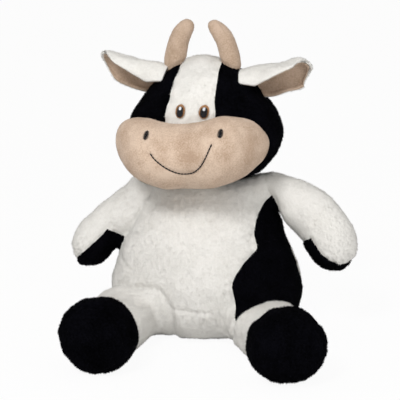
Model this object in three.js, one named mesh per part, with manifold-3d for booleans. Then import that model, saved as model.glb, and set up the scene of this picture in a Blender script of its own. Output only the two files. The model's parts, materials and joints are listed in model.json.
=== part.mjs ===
// A plush cow that sits on its seat with its legs in front of it.
// Millimetres, +Z up. The cow faces -Y, and its own left side is +X.
// The origin is the middle of the flat seat, on the floor.
// Every cover is a shell of pile fabric round its own stuffing.
// The limbs turn in the fabric at their seams.

import * as THREE from "three";
import { mergeVertices } from "three/addons/utils/BufferGeometryUtils.js";
import Module from "manifold-3d";

const wasm = await Module();
wasm.setup();

// Fabric, gaps and the depth of the flat places that rest on the floor.
const coverWall = 2.4;
const seamGap = 0.3;
const fillGap = 0.4;
const jointGap = 0.7;
const podGap = 4;
const restCut = 0.5;
const overrun = 30;

// Torso.
const torsoHeight = 152;
const torsoWidth = 196;
const torsoDepth = 164;
const bellyForward = 4;
const sideSeamBack = 12;
const shoulderOutShare = 0.33;
const shoulderRiseShare = 0.845;
const hipOutShare = 0.32;
const hipForwardShare = 0.31;
const pelletBagRadius = 42;
const pelletBagTopShare = 0.9;
const pelletBagHeight = 17;

// Neck and head. The head's base is this far above the neck's centre.
const neckRadius = 32;
const neckSink = 2;
const headRise = 2;
const headHeight = 122;
const headWidth = 154;
const headDepth = 126;
const headForward = 8;
const blazeWidth = 48;

// Muzzle, with its lobes either side of a dip.
const muzzleWidth = 150;
const muzzleHeight = 70;
const muzzleDepth = 70;
const muzzleRise = 37;
const muzzleForward = 69;
const muzzleTiltAngle = 4;

// Face stitching.
const stitchLift = 0.3;
const stitchThickness = 0.8;
const eyeSpacing = 22.4;
const eyeRise = 76.5;
const eyeWidth = 8.8;
const eyeHeight = 12.4;
const pupilDropShare = 0.06;
const pupilWidthShare = 0.7;
const pupilHeightShare = 0.72;
const glintRiseShare = 0.17;
const glintShare = 0.26;
const nostrilSpacing = 71;
const nostrilRise = 61;
const nostrilAside = 2;
const nostrilWidth = 4.8;
const nostrilHeight = 8.4;
const smileWidth = 57;
const smileSag = 22.5;
const smileRise = 45;
const smileAside = 1;
const smileThread = 1.3;

// Horns and ears.
const hornHeight = 50;
const leftHornLean = 23;
const rightHornLean = 17;
const hornThickness = 21.6;
const hornOutShare = 0.182;
const hornSink = 16;
const earLength = 64;
const earWidth = 44;
const earSeat = 8;
const earOutShare = 0.3;
const earRiseShare = 0.83;
const earWall = 2.2;
const liningGap = 0.7;
const earKnuckle = 9;
const leftEarTiltAngle = 11;
const rightEarTiltAngle = 12;
const earRollAngle = 58;
const earDownAngle = 10;
const earUpAngle = 18;
const earSteps = 9;

// Arms, from the shoulder's centre to the tip.
const armReach = 87;
const armDrop = 70;
const armForward = 10;
const leftArmRaiseAngle = 5;
const rightArmRaiseAngle = 0;
const armThickness = 50;
const armCutShare = 0.4;

// Legs, from the hip's centre to the front of the foot, and how far each one points outwards.
const legLength = 146;
const thighWidth = 64;
const thighThickness = 46;
const hipWidth = 70;
const thighFullness = 0.8;
const legLift = 1;
const legRootShare = 0.1;
const legCutShare = -0.04;
const legBeyondShare = 2;
const footWidth = 70.5;
const footHeight = 70;
const leftLegSplayAngle = 24.5;
const rightLegSplayAngle = 0;
const legDownAngle = 20;
const legUpAngle = 15;

// Tail and the zip in the back.
const tailLength = 78;
const tailThickness = 12;
const tuftThickness = 18;
const tailRise = 31;
const zipLength = 62;
const zipRise = 60;
const zipTapeWidth = 9;
const zipTapeWall = 1.2;
const zipTeethWidth = 4;
const zipTeethWall = 1.6;
const zipPitch = 4;
const sliderLength = 9;
const sliderWidth = 7;
const sliderWall = 1.4;
const pullLength = 20;
const pullWidth = 5;
const pullEye = 1.2;
const bridgeShare = 2.5;
const barShare = 0.75;

// How round each form is.
const bodySides = 24;
const limbSides = 16;
const muzzleSides = 20;
const hornSides = 10;
const neckSides = 24;
const outlineSteps = 12;

const materials = {
  whitePlush: new THREE.MeshStandardMaterial({ color: 0xece8e0, roughness: 0.95, metalness: 0 }),
  blackPlush: new THREE.MeshStandardMaterial({ color: 0x0b0b10, roughness: 0.95, metalness: 0 }),
  tanVelour: new THREE.MeshStandardMaterial({ color: 0xc4a68c, roughness: 0.9, metalness: 0 }),
  stuffing: new THREE.MeshStandardMaterial({ color: 0xf4f4f2, roughness: 1, metalness: 0 }),
  pelletBag: new THREE.MeshStandardMaterial({ color: 0xd8d4c8, roughness: 0.9, metalness: 0 }),
  blackThread: new THREE.MeshStandardMaterial({ color: 0x101014, roughness: 0.5, metalness: 0 }),
  amberThread: new THREE.MeshStandardMaterial({ color: 0x8a4f1c, roughness: 0.5, metalness: 0 }),
  whiteThread: new THREE.MeshStandardMaterial({ color: 0xe6ecf4, roughness: 0.5, metalness: 0 }),
  zipTape: new THREE.MeshStandardMaterial({ color: 0xe4e0d8, roughness: 0.8, metalness: 0 }),
  zipPlastic: new THREE.MeshStandardMaterial({ color: 0xf0eee8, roughness: 0.4, metalness: 0 }),
};

const vector = (x, y, z) => new THREE.Vector3(x, y, z);
const degrees = THREE.MathUtils.degToRad;
const xAxis = vector(1, 0, 0);
const yAxis = vector(0, 1, 0);
const zAxis = vector(0, 0, 1);

// Places that the pieces share.
const neckPivot = vector(0, -bellyForward / 2, torsoHeight - neckSink);
const shoulderX = torsoWidth * shoulderOutShare;
const shoulderZ = torsoHeight * shoulderRiseShare;
const hipX = torsoWidth * hipOutShare;
const hipY = -torsoDepth * hipForwardShare;
const hipZ = thighThickness / 2 + legLift;

// A closed geometry as a solid, and back.
function solidOf(geometry) {
  const bare = new THREE.BufferGeometry();
  bare.setAttribute("position", geometry.getAttribute("position"));
  bare.setIndex(geometry.index);
  const merged = mergeVertices(bare, 1e-4);
  return new wasm.Manifold(
    new wasm.Mesh({
      numProp: 3,
      vertProperties: merged.attributes.position.array,
      triVerts: new Uint32Array(merged.index.array),
    }),
  );
}

function geometryOf(solid) {
  const mesh = solid.getMesh();
  const geometry = new THREE.BufferGeometry();
  const places = new Float32Array(mesh.numVert * 3);
  for (let i = 0; i < mesh.numVert; i++) {
    places.set(mesh.vertProperties.subarray(i * mesh.numProp, i * mesh.numProp + 3), i * 3);
  }
  geometry.setAttribute("position", new THREE.BufferAttribute(places, 3));
  geometry.setIndex(new THREE.BufferAttribute(new Uint32Array(mesh.triVerts), 1));
  return geometry;
}

const cut = (solid, ...others) => others.reduce((left, other) => left.subtract(other), solid);
const common = (solid, other) => solid.intersect(other);
const joined = (solid, ...others) => others.reduce((sum, other) => sum.add(other), solid);

// The same solid, placed by a matrix.
function placed(solid, matrix) {
  return solidOf(geometryOf(solid).applyMatrix4(matrix));
}

// A ring of a soft form: its centre, its two directions and its half sizes along them.
// A fullness of 1 is an ellipse, and a smaller one is squarer.
const ring = (at, across, up, wide, high, fullness = 1) => ({ at, across, up, wide, high, fullness });

// A closed soft form through its rings, whose first and last are points. It is grown outwards by grow.
// A form that is shrunk is the inside of a cover, and half as round.
function loft(rings, outerSides, grow = 0) {
  const sides = grow < 0 ? outerSides / 2 : outerSides;
  const first = rings[0];
  const last = rings[rings.length - 1];
  const handed = last.at.clone().sub(first.at).dot(first.across.clone().cross(first.up));
  const sense = Math.sign(handed);
  const places = [];
  rings.forEach((here, i) => {
    const along = here.across.clone().cross(here.up).multiplyScalar(sense);
    const before = rings[Math.max(i - 1, 0)];
    const after = rings[Math.min(i + 1, rings.length - 1)];
    const isPoint = i === 0 || i === rings.length - 1;
    const run = after.at.clone().sub(before.at).dot(along);
    const rise = (after.wide + after.high - before.wide - before.high) / 2;
    const slope = Math.hypot(run, rise);
    const outwards = isPoint ? 0 : run / slope;
    const lengthwise = isPoint ? (i === 0 ? -1 : 1) : -rise / slope;
    const centre = here.at.clone().addScaledVector(along, grow * lengthwise);
    if (isPoint) {
      places.push(centre);
      return;
    }
    const bent = (value) => Math.sign(value) * Math.abs(value) ** here.fullness;
    for (let j = 0; j < sides; j++) {
      const turn = (2 * Math.PI * j) / sides;
      const place = centre.clone();
      place.addScaledVector(here.across, (here.wide + grow * outwards) * bent(Math.cos(turn)));
      place.addScaledVector(here.up, (here.high + grow * outwards) * bent(Math.sin(turn)));
      places.push(place);
    }
  });
  const triangles = [];
  const full = rings.length - 2;
  const end = 1 + full * sides;
  for (let j = 0; j < sides; j++) {
    const next = (j + 1) % sides;
    triangles.push([0, 1 + next, 1 + j]);
    for (let i = 0; i + 1 < full; i++) {
      const low = 1 + i * sides;
      const high = low + sides;
      triangles.push([low + j, low + next, high + next], [low + j, high + next, high + j]);
    }
    triangles.push([end, end - sides + j, end - sides + next]);
  }
  const geometry = new THREE.BufferGeometry();
  geometry.setFromPoints(places);
  geometry.setIndex(triangles.flatMap(([a, b, c]) => (sense > 0 ? [a, b, c] : [a, c, b])));
  return solidOf(geometry);
}

// A prism with a front-view outline (X, Z), between two depths in Y.
function prism(shape, front, back) {
  const run = { depth: back - front, bevelEnabled: false, curveSegments: outlineSteps };
  const geometry = new THREE.ExtrudeGeometry(shape, run);
  geometry.rotateX(Math.PI / 2).translate(0, back, 0);
  return solidOf(geometry);
}

function polygon(points) {
  return new THREE.Shape(points.map(([x, z]) => new THREE.Vector2(x, z)));
}

function ellipse(x, z, width, height) {
  return new THREE.Shape().absellipse(x, z, width / 2, height / 2, 0, 2 * Math.PI, false, 0);
}

// A box between two corners.
function block(low, high) {
  const size = high.clone().sub(low);
  const middle = low.clone().add(high).divideScalar(2);
  return solidOf(new THREE.BoxGeometry(size.x, size.y, size.z).translate(middle.x, middle.y, middle.z));
}

// A ball or an ovoid whose poles lie on the axis that it turns about, grown outwards by grow.
function knuckle(radius, halfLength, sides, axis, grow) {
  const round = grow < 0 ? sides / 2 : sides;
  const geometry = new THREE.SphereGeometry(radius + grow, round, round / 2);
  geometry.scale(1, (halfLength + grow) / (radius + grow), 1);
  geometry.applyQuaternion(new THREE.Quaternion().setFromUnitVectors(yAxis, axis));
  return solidOf(geometry);
}

const floorCut = (solid, centre) => {
  const low = vector(centre.x - torsoWidth * 2, centre.y - torsoWidth * 2, -overrun);
  return cut(solid, block(low, vector(centre.x + torsoWidth * 2, centre.y + torsoWidth * 2, 0)));
};

// Torso: height, width and depth shares of each ring, from the seat to the neck.
const torsoShares = [
  [0.001, 0.66, 0.66],
  [0.05, 0.84, 0.85],
  [0.16, 0.96, 0.97],
  [0.27, 1.0, 1.0],
  [0.37, 0.97, 0.985],
  [0.47, 0.915, 0.94],
  [0.6, 0.83, 0.86],
  [0.72, 0.755, 0.77],
  [0.845, 0.655, 0.65],
  [0.93, 0.6, 0.53],
  [0.98, 0.46, 0.4],
];

function torsoForm(grow) {
  const half = vector(torsoWidth / 2, torsoDepth / 2, 0);
  const level = (height, wide, deep) => {
    const forward = -bellyForward * Math.sin(Math.PI * Math.min(1, Math.max(0, height / torsoHeight)));
    return ring(vector(0, forward, height), xAxis, yAxis, half.x * wide, half.y * deep);
  };
  const rings = torsoShares.map(([high, wide, deep]) => level(high * torsoHeight, wide, deep));
  return loft([level(-restCut, 0, 0), ...rings, level(torsoHeight, 0, 0)], bodySides, grow);
}

// Head: height and width shares of each ring, from the chin to the crown.
const headShares = [
  [0.012, 0.42],
  [0.065, 0.68],
  [0.13, 0.81],
  [0.23, 0.935],
  [0.36, 1.0],
  [0.467, 0.975],
  [0.574, 0.9],
  [0.664, 0.805],
  [0.762, 0.69],
  [0.869, 0.52],
  [0.95, 0.31],
];

function headForm(grow) {
  const level = (high, wide) => {
    const at = vector(0, -headForward, headRise + high * headHeight);
    return ring(at, xAxis, yAxis, (wide * headWidth) / 2, (wide * headDepth) / 2);
  };
  const rings = headShares.map(([high, wide]) => level(high, wide));
  return loft([level(0, 0), ...rings, level(1, 0)], bodySides, grow);
}

// Muzzle: place along its half width, then shares of rise, of droop on the cow's left, of half height, of
// forward place and of half depth.
const muzzleShares = [
  [0, -0.06, 0, 0.95, 1.0, 0.95],
  [0.27, -0.02, 0, 0.965, 1.03, 1.0],
  [0.5, 0.12, 0, 0.93, 1.03, 0.96],
  [0.71, 0.195, 0.035, 0.8, 0.96, 0.8],
  [0.86, 0.25, 0.08, 0.58, 0.84, 0.62],
  [0.95, 0.265, 0.11, 0.33, 0.73, 0.38],
  [1, 0.265, 0.115, 0, 0.66, 0],
];

// The muzzle is sewn on a little higher on the cow's left.
const muzzlePlace = new THREE.Matrix4()
  .makeTranslation(0, 0, muzzleRise)
  .multiply(new THREE.Matrix4().makeRotationY(-degrees(muzzleTiltAngle)))
  .multiply(new THREE.Matrix4().makeTranslation(0, 0, -muzzleRise));

function muzzleForm(grow) {
  const level = (side, [out, rise, droop, high, forward, deep]) => {
    const at = vector(
      (side * out * muzzleWidth) / 2,
      -forward * muzzleForward,
      muzzleRise + ((rise - side * droop) * muzzleHeight) / 2,
    );
    return ring(at, yAxis, zAxis, (deep * muzzleDepth) / 2, (high * muzzleHeight) / 2);
  };
  const left = muzzleShares.slice(1).map((shares) => level(1, shares));
  const right = muzzleShares.slice(1).map((shares) => level(-1, shares));
  const rings = [...right.reverse(), level(1, muzzleShares[0]), ...left];
  return placed(loft(rings, muzzleSides, grow), muzzlePlace);
}

// A thin stitched patch that follows the front of a form, inside a front-view outline.
function stitched(form, middle, shape, layer = 0, place = new THREE.Matrix4()) {
  const lift = stitchLift + layer * (stitchThickness + stitchLift);
  const skin = cut(form(lift + stitchThickness), form(lift));
  return common(skin, placed(prism(shape, -headDepth * 2, -middle), place));
}

// Arms: shares of reach, of drop, of forward lean and of half thickness, from the shoulder to the tip.
const leftArmShares = [
  [-0.1, 0, 0, 0],
  [0, 0, 0, 1.0],
  [0.17, 0.03, 0.05, 1.01],
  [0.345, 0.13, 0.2, 1.02],
  [0.486, 0.25, 0.4, 1.02],
  [0.602, 0.41, 0.6, 1.03],
  [0.69, 0.61, 0.8, 1.0],
  [0.739, 0.77, 0.92, 0.85],
  [0.772, 0.88, 0.98, 0.57],
  [0.795, 0.965, 1, 0],
];
const rightArmShares = [
  [-0.1, -0.04, 0, 0],
  [0, 0, 0, 1.0],
  [0.103, 0.064, 0.05, 0.95],
  [0.23, 0.186, 0.2, 0.9],
  [0.443, 0.42, 0.4, 0.9],
  [0.575, 0.614, 0.6, 0.88],
  [0.68, 0.78, 0.8, 0.84],
  [0.753, 0.914, 0.92, 0.7],
  [0.805, 1.007, 0.98, 0.44],
  [0.84, 1.08, 1, 0],
];

function armForm(side, grow, sides = limbSides) {
  const armShares = side > 0 ? leftArmShares : rightArmShares;
  const place = ([out, down, forward]) =>
    vector(side * out * armReach, -forward * armForward, -down * armDrop);
  const rings = armShares.map((shares, i) => {
    const before = place(armShares[Math.max(i - 1, 0)]);
    const after = place(armShares[Math.min(i + 1, armShares.length - 1)]);
    const along = after.sub(before).normalize();
    const across = yAxis.clone().cross(along).normalize();
    const half = (shares[3] * armThickness) / 2;
    return ring(place(shares), across, along.clone().cross(across), half, half);
  });
  return loft(rings, sides, grow);
}

// Palm panels on the arms' undersides: front-view outlines in shares of reach and drop.
const leftPalmShares = [
  [0.1, -0.72],
  [0.3, -0.575],
  [0.39, -0.49],
  [0.475, -0.44],
  [0.53, -0.54],
  [0.59, -0.67],
  [0.69, -0.78],
  [0.8, -0.85],
  [0.92, -0.83],
  [1.2, -0.7],
  [1.2, -1.6],
  [0.1, -1.6],
];
const rightPalmShares = [
  [0.1, -0.68],
  [0.25, -0.6],
  [0.36, -0.54],
  [0.45, -0.51],
  [0.5, -0.6],
  [0.6, -0.74],
  [0.72, -0.9],
  [0.83, -1.03],
  [1.0, -1.2],
  [1.2, -1.4],
  [1.2, -2],
  [0.1, -2],
];

// Leg: shares of length, then half widths and half heights in shares of the thigh, as far as the ankle.
const legShares = [
  [0, 1.1, 1.0],
  [0.14, 1.07, 1.0],
  [0.3, 0.99, 0.99],
  [0.46, 0.9, 0.98],
  [0.575, 0.86, 0.98],
];

// Foot: shares of the leg's length, half width and half height in shares of the foot, and its rise.
const footShares = [
  [0.63, 0.86, 0.84, 0.5],
  [0.7, 0.97, 0.97, 0.85],
  [0.78, 1.0, 1.0, 1.0],
  [0.87, 0.97, 0.99, 1.0],
  [0.94, 0.8, 0.82, 1.0],
  [0.98, 0.5, 0.52, 1.0],
];
const ankleShare = 0.605;
const soleShare = 0.905;

function legForm(grow, sides = limbSides) {
  const rise = footHeight / 2 - restCut - hipZ;
  const down = (share) => -share * legLength;
  const thigh = legShares.map(([far, wide, high]) => {
    const half = { wide: (wide * thighWidth) / 2, high: (high * thighThickness) / 2 };
    return ring(vector(0, down(far), 0), zAxis, xAxis, half.high, half.wide, thighFullness);
  });
  const foot = footShares.map(([far, wide, high, lift]) =>
    ring(vector(0, down(far), rise * lift), zAxis, xAxis, (high * footHeight) / 2, (wide * footWidth) / 2),
  );
  const root = ring(vector(0, legLength * legRootShare, 0), zAxis, xAxis, 0, 0);
  const toe = ring(vector(0, down(1), rise), zAxis, xAxis, 0, 0);
  return loft([root, ...thigh, ...foot, toe], sides, grow);
}

// Where each moving part sits, as a matrix in the frame of the part that carries it.
const moved = (x, y, z) => new THREE.Matrix4().makeTranslation(x, y, z);
const turned = (axis, angle) => new THREE.Matrix4().makeRotationAxis(axis, degrees(angle));
const headPlace = moved(neckPivot.x, neckPivot.y, neckPivot.z);
const raiseOf = (side) => -side * (side > 0 ? leftArmRaiseAngle : rightArmRaiseAngle);
const shoulderPlace = (side) =>
  moved(side * shoulderX, 0, shoulderZ).multiply(turned(yAxis, raiseOf(side)));
const splayOf = (side) => (side > 0 ? leftLegSplayAngle : -rightLegSplayAngle);
const hipPlace = (side) => moved(side * hipX, hipY, hipZ).multiply(turned(zAxis, splayOf(side)));

// The room that a limb takes up, with its clearance, at rest and at the ends of its swing.
function sweptRoom(form, place, axis, angles) {
  const posed = angles.map((angle) => placed(form, place.clone().multiply(turned(axis, angle))));
  return joined(posed[0], ...posed.slice(1));
}

const legSwing = [legDownAngle, 0, -legUpAngle];
const armSwing = [0];

// Shoulder and hip roots are balls and ovoids, so that they turn in their sockets.
const shoulderBall = (grow) => knuckle(armThickness / 2, armThickness / 2, limbSides, yAxis, grow);
const hipOvoid = (grow) => knuckle(thighThickness / 2, hipWidth / 2, limbSides, xAxis, grow);
const neckBall = (grow) => knuckle(neckRadius, neckRadius, neckSides, zAxis, grow);

const origin = vector(0, 0, 0);
const armRoom = (side) =>
  joined(
    placed(shoulderBall(jointGap), shoulderPlace(side)),
    sweptRoom(armForm(side, jointGap), shoulderPlace(side), yAxis, armSwing),
  );
const legRoom = (side) =>
  joined(
    placed(hipOvoid(jointGap), hipPlace(side)),
    sweptRoom(legForm(jointGap), hipPlace(side), xAxis, legSwing),
  );
const neckRoom = placed(neckBall(jointGap), headPlace);

// The stuffing behind a joint stands further back than the cover, so its hollows are plain ovoids.
const podRoom = (radius, half, axis) => solidOf(scaledBall(radius + podGap, half + podGap, axis));
function scaledBall(radius, half, axis) {
  const geometry = new THREE.SphereGeometry(radius, hornSides, hornSides / 2);
  geometry.scale(1, half / radius, 1);
  return geometry.applyQuaternion(new THREE.Quaternion().setFromUnitVectors(yAxis, axis));
}
const roomyShoulder = (side) =>
  joined(
    placed(podRoom(armThickness / 2, armThickness / 2, yAxis), shoulderPlace(side)),
    placed(armForm(side, podGap, hornSides), shoulderPlace(side)),
  );
const roomyHip = (side) =>
  joined(
    placed(podRoom(thighThickness / 2, hipWidth / 2, xAxis), hipPlace(side)),
    sweptRoom(legForm(podGap, hornSides), hipPlace(side), xAxis, legSwing),
  );

// Groups, one for each part that moves.
const cow = new THREE.Group();

function group(parent, place) {
  const made = new THREE.Group();
  place.decompose(made.position, made.quaternion, made.scale);
  parent.add(made);
  return made;
}

function piece(parent, name, solid, material) {
  const mesh = new THREE.Mesh(geometryOf(solid), material.clone());
  mesh.name = name;
  parent.add(mesh);
}

// Tail room and zip place, which the back panel is cut for.
const tailPlace = moved(0, torsoDepth / 2 - bellyForward / 2, tailRise);
const tailBall = (grow) => knuckle(tailThickness / 2, tailThickness / 2, hornSides, zAxis, grow);

// Depth of the torso's back at a height, worked out from its rings.
function backAt(height) {
  const share = height / torsoHeight;
  const above = torsoShares.findIndex(([high]) => high >= share);
  const [lowHigh, , lowDeep] = torsoShares[above - 1];
  const [highHigh, , highDeep] = torsoShares[above];
  const along = (share - lowHigh) / (highHigh - lowHigh);
  const deep = lowDeep + (highDeep - lowDeep) * along;
  return (deep * torsoDepth) / 2 - bellyForward * Math.sin(Math.PI * share);
}

// The zip runs straight up the back. Its own frame has +Z along the zip and -Y into the body.
const zipLow = vector(0, backAt(zipRise), zipRise);
const zipHigh = vector(0, backAt(zipRise + zipLength), zipRise + zipLength);
const zipLean = Math.atan2(zipLow.y - zipHigh.y, zipHigh.z - zipLow.z);
const zipPlace = moved(zipLow.x, zipLow.y, zipLow.z).multiply(turned(xAxis, (zipLean * 180) / Math.PI));
const zipSlotWidth = zipTeethWidth + 2 * zipTapeWidth + 2 * seamGap;

function zipBox(wide, deepFrom, deepTo, low, high) {
  return block(vector(-wide / 2, deepFrom, low), vector(wide / 2, deepTo, high));
}

const zipRoom = placed(
  zipBox(zipSlotWidth, -coverWall * 2 - fillGap, overrun, -seamGap, zipLength + seamGap),
  zipPlace,
);

// Torso covers.
const torsoShell = cut(torsoForm(0), torsoForm(-coverWall));
const torsoRooms = [armRoom(1), armRoom(-1), legRoom(1), legRoom(-1), neckRoom];
const openShell = floorCut(cut(torsoShell, ...torsoRooms), origin);
const farOut = torsoWidth;
const frontHalf = block(vector(-farOut, -farOut, -overrun), vector(farOut, sideSeamBack, farOut));
const backHalf = block(vector(-farOut, sideSeamBack + seamGap, -overrun), vector(farOut, farOut, farOut));

// Flank patch on the cow's left: front-view outline in shares of half the torso's width and of its height.
const patchShares = [
  [0.72, 0.92],
  [0.65, 0.88],
  [0.61, 0.83],
  [0.59, 0.78],
  [0.6, 0.69],
  [0.63, 0.62],
  [0.53, 0.54],
  [0.46, 0.47],
  [0.43, 0.41],
  [0.45, 0.33],
  [0.45, 0.22],
  [0.39, 0.1],
  [0.35, 0.03],
  [0.3, -0.1],
  [1.4, -0.1],
  [1.4, 0.92],
];

function patchPrism(spread) {
  const outline = patchShares.map(([wide, high]) => [(wide * torsoWidth) / 2 - spread, high * torsoHeight]);
  return prism(polygon(outline), -farOut, farOut);
}

const torsoGroup = group(cow, new THREE.Matrix4());
const frontShell = common(openShell, frontHalf);
piece(torsoGroup, "torso_front", cut(frontShell, patchPrism(seamGap)), materials.whitePlush);
piece(torsoGroup, "flank_patch", common(frontShell, patchPrism(0)), materials.blackPlush);
const tailRoom = placed(tailBall(jointGap), tailPlace);
piece(torsoGroup, "torso_back", cut(common(openShell, backHalf), zipRoom, tailRoom), materials.whitePlush);

// Torso stuffing and the pellet bag that weights the seat.
const bagLow = coverWall + fillGap;
const bagForm = (grow) =>
  solidOf(
    new THREE.CylinderGeometry(
      pelletBagRadius * pelletBagTopShare + grow,
      pelletBagRadius + grow,
      pelletBagHeight + grow,
      bodySides,
    )
      .rotateX(Math.PI / 2)
      .translate(0, -bellyForward, bagLow + (pelletBagHeight + grow) / 2),
  );
const podForm = torsoForm(-coverWall - fillGap);
const bagRoom = joined(
  bagForm(seamGap),
  block(
    vector(-pelletBagRadius / 2, -pelletBagRadius / 2, -overrun),
    vector(pelletBagRadius / 2, pelletBagRadius / 2, bagLow + seamGap),
  ),
);
const podRooms = [roomyShoulder(1), roomyShoulder(-1), roomyHip(1), roomyHip(-1), neckRoom];
piece(torsoGroup, "torso_pod", cut(podForm, ...podRooms, zipRoom, tailRoom, bagRoom), materials.stuffing);
piece(torsoGroup, "pellet_bag", bagForm(0), materials.pelletBag);

// Zip: two tapes and a line of teeth, then its slider and pull.
const zipGroup = group(torsoGroup, zipPlace);
const tapeTop = -coverWall - fillGap;
const tapeBottom = tapeTop - zipTapeWall;
for (const [name, side] of [["left", -1], ["right", 1]]) {
  const inner = side * (zipTeethWidth / 2 + seamGap / 2);
  const outer = side * (zipTeethWidth / 2 + zipTapeWidth);
  const low = vector(Math.min(inner, outer), tapeBottom, 0);
  const high = vector(Math.max(inner, outer), tapeTop, zipLength);
  piece(zipGroup, "zip_tape_" + name, block(low, high), materials.zipTape);
}

function teethForm() {
  const count = Math.floor(zipLength / zipPitch);
  const tooth = zipPitch / 2;
  const spine = zipBox(zipTeethWidth / 2, tapeBottom, tapeTop, 0, zipLength);
  const teeth = [];
  for (let i = 0; i < count; i++) {
    const low = i * zipPitch + tooth / 2;
    const top = tapeTop + zipTeethWall;
    teeth.push(zipBox(zipTeethWidth - seamGap, tapeTop - seamGap, top, low, low + tooth));
  }
  return joined(spine, ...teeth);
}

piece(zipGroup, "zip_teeth", teethForm(), materials.zipPlastic);

const sliderLow = tapeTop + zipTeethWall + seamGap;
const sliderHigh = sliderLow + sliderWall;
const pullPivot = vector(0, sliderHigh + pullEye + seamGap, sliderLength / 2);
const bridgeHalf = pullEye * bridgeShare;
const bridgeTop = pullPivot.y + pullEye + sliderWall;
const bridgeReach = Math.hypot(bridgeHalf, pullEye + sliderWall) + seamGap;
const barHalf = pullEye * barShare;

function sliderForm() {
  const plate = zipBox(sliderWidth, sliderLow, sliderHigh, seamGap, sliderLength);
  const cheek = (side) => {
    const low = vector((side * sliderWidth) / 2 - (side > 0 ? sliderWall : 0), tapeTop + seamGap, seamGap);
    return block(low, vector(low.x + sliderWall, sliderHigh, sliderLength));
  };
  const hole = pullEye + seamGap;
  const bridge = cut(
    zipBox(sliderWall, sliderLow, bridgeTop, pullPivot.z - bridgeHalf, pullPivot.z + bridgeHalf),
    zipBox(sliderWidth, sliderHigh, pullPivot.y + hole, pullPivot.z - hole, pullPivot.z + hole),
  );
  return joined(plate, cheek(1), cheek(-1), bridge);
}

const sliderGroup = group(zipGroup, moved(0, 0, zipLength - sliderLength - seamGap));
piece(sliderGroup, "zip_slider", sliderForm(), materials.zipPlastic);

function pullForm() {
  const bar = block(
    vector(-pullWidth / 2, pullPivot.y - barHalf, pullPivot.z - barHalf),
    vector(pullWidth / 2, pullPivot.y + barHalf, pullPivot.z + barHalf),
  );
  const blade = block(
    vector(-pullWidth / 2, pullPivot.y - barHalf, pullPivot.z - pullLength),
    vector(pullWidth / 2, pullPivot.y + barHalf, pullPivot.z + barHalf),
  );
  const eye = block(
    vector(-sliderWall / 2 - seamGap, pullPivot.y - pullEye, pullPivot.z - bridgeReach),
    vector(sliderWall / 2 + seamGap, pullPivot.y + pullEye, pullPivot.z - barHalf),
  );
  return joined(cut(blade, eye), bar);
}

const pullGroup = group(sliderGroup, new THREE.Matrix4());
piece(pullGroup, "zip_pull", pullForm(), materials.zipPlastic);

// Arms: a white sleeve, a black palm panel on the underside and the stuffing.
function addArm(side, name) {
  const arm = group(cow, shoulderPlace(side));
  const whole = (grow) => joined(armForm(side, grow), shoulderBall(grow));
  const inner = side * armThickness * armCutShare;
  const low = vector(side > 0 ? -inner : -armReach * 2, -armReach, -armReach * 2);
  const high = vector(side > 0 ? armReach * 2 : -inner, armReach, armReach);
  const outside = block(low, high);
  const shell = common(cut(whole(0), whole(-coverWall)), outside);
  const palm = (spread) => {
    const shares = side > 0 ? leftPalmShares : rightPalmShares;
    const outline = shares.map(([out, down]) => [side * out * armReach, down * armDrop + spread]);
    return prism(polygon(side > 0 ? outline : outline.reverse()), -armReach, armReach);
  };
  piece(arm, name + "_sleeve", cut(shell, palm(seamGap)), materials.whitePlush);
  piece(arm, name + "_palm", common(shell, palm(0)), materials.blackPlush);
  piece(arm, name + "_stuffing", common(whole(-coverWall - fillGap), outside), materials.stuffing);
}

addArm(1, "left_arm");
addArm(-1, "right_arm");

// Legs: a white sleeve to the ankle, a black foot, a black sole over its front and the stuffing.
function addLeg(side, name) {
  const leg = group(cow, hipPlace(side));
  const whole = (grow) => joined(legForm(grow), hipOvoid(grow));
  const slab = (from, to) =>
    block(
      vector(-legLength, -to * legLength, -hipZ),
      vector(legLength, -from * legLength, legLength),
    );
  const gapShare = seamGap / legLength;
  const shell = cut(whole(0), whole(-coverWall));
  const sleeve = common(shell, slab(legCutShare, ankleShare));
  const foot = common(shell, slab(ankleShare + gapShare, soleShare));
  const sole = common(shell, slab(soleShare + gapShare, legBeyondShare));
  piece(leg, name + "_sleeve", sleeve, materials.whitePlush);
  piece(leg, name.replace("leg", "foot"), foot, materials.blackPlush);
  piece(leg, name.replace("leg", "sole"), sole, materials.blackPlush);
  const filling = common(whole(-coverWall - fillGap), slab(legCutShare, legBeyondShare));
  piece(leg, name + "_stuffing", filling, materials.stuffing);
}

addLeg(1, "left_leg");
addLeg(-1, "right_leg");

// Neck: a firm ball of stuffing that the head turns and nods on.
const neckGroup = group(cow, headPlace);
piece(neckGroup, "neck_plug", neckBall(0), materials.stuffing);

// Ears: a root knuckle at the head seam, a white outer and a tan lining, cupped and rolled forwards.
// The ear flaps about a line from front to back, which is given in the ear's own frame.
const earX = headWidth * earOutShare;
const earZ = headRise + headHeight * earRiseShare;
const tiltOf = (side) => -side * (side > 0 ? leftEarTiltAngle : rightEarTiltAngle);
const earPlace = (side) =>
  moved(side * earX, -headForward, earZ)
    .multiply(turned(yAxis, tiltOf(side)))
    .multiply(turned(xAxis, earRollAngle));
const flapAxis = yAxis.clone().applyAxisAngle(xAxis, degrees(-earRollAngle));
const earBall = (grow) => knuckle(earKnuckle, earKnuckle, hornSides, flapAxis, grow);

// Shares of length, of the cup's radius, and of the half turn that each edge is rolled through.
const earShares = [
  [0.1, 0.62, 0.62, 0.7],
  [0.2, 0.72, 0.62, 0.64],
  [0.34, 0.84, 0.6, 0.57],
  [0.52, 0.95, 0.56, 0.5],
  [0.7, 1.0, 0.5, 0.43],
  [0.84, 0.98, 0.43, 0.35],
  [0.94, 0.95, 0.35, 0.27],
  [1.0, 0.9, 0.22, 0.16],
];

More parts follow.
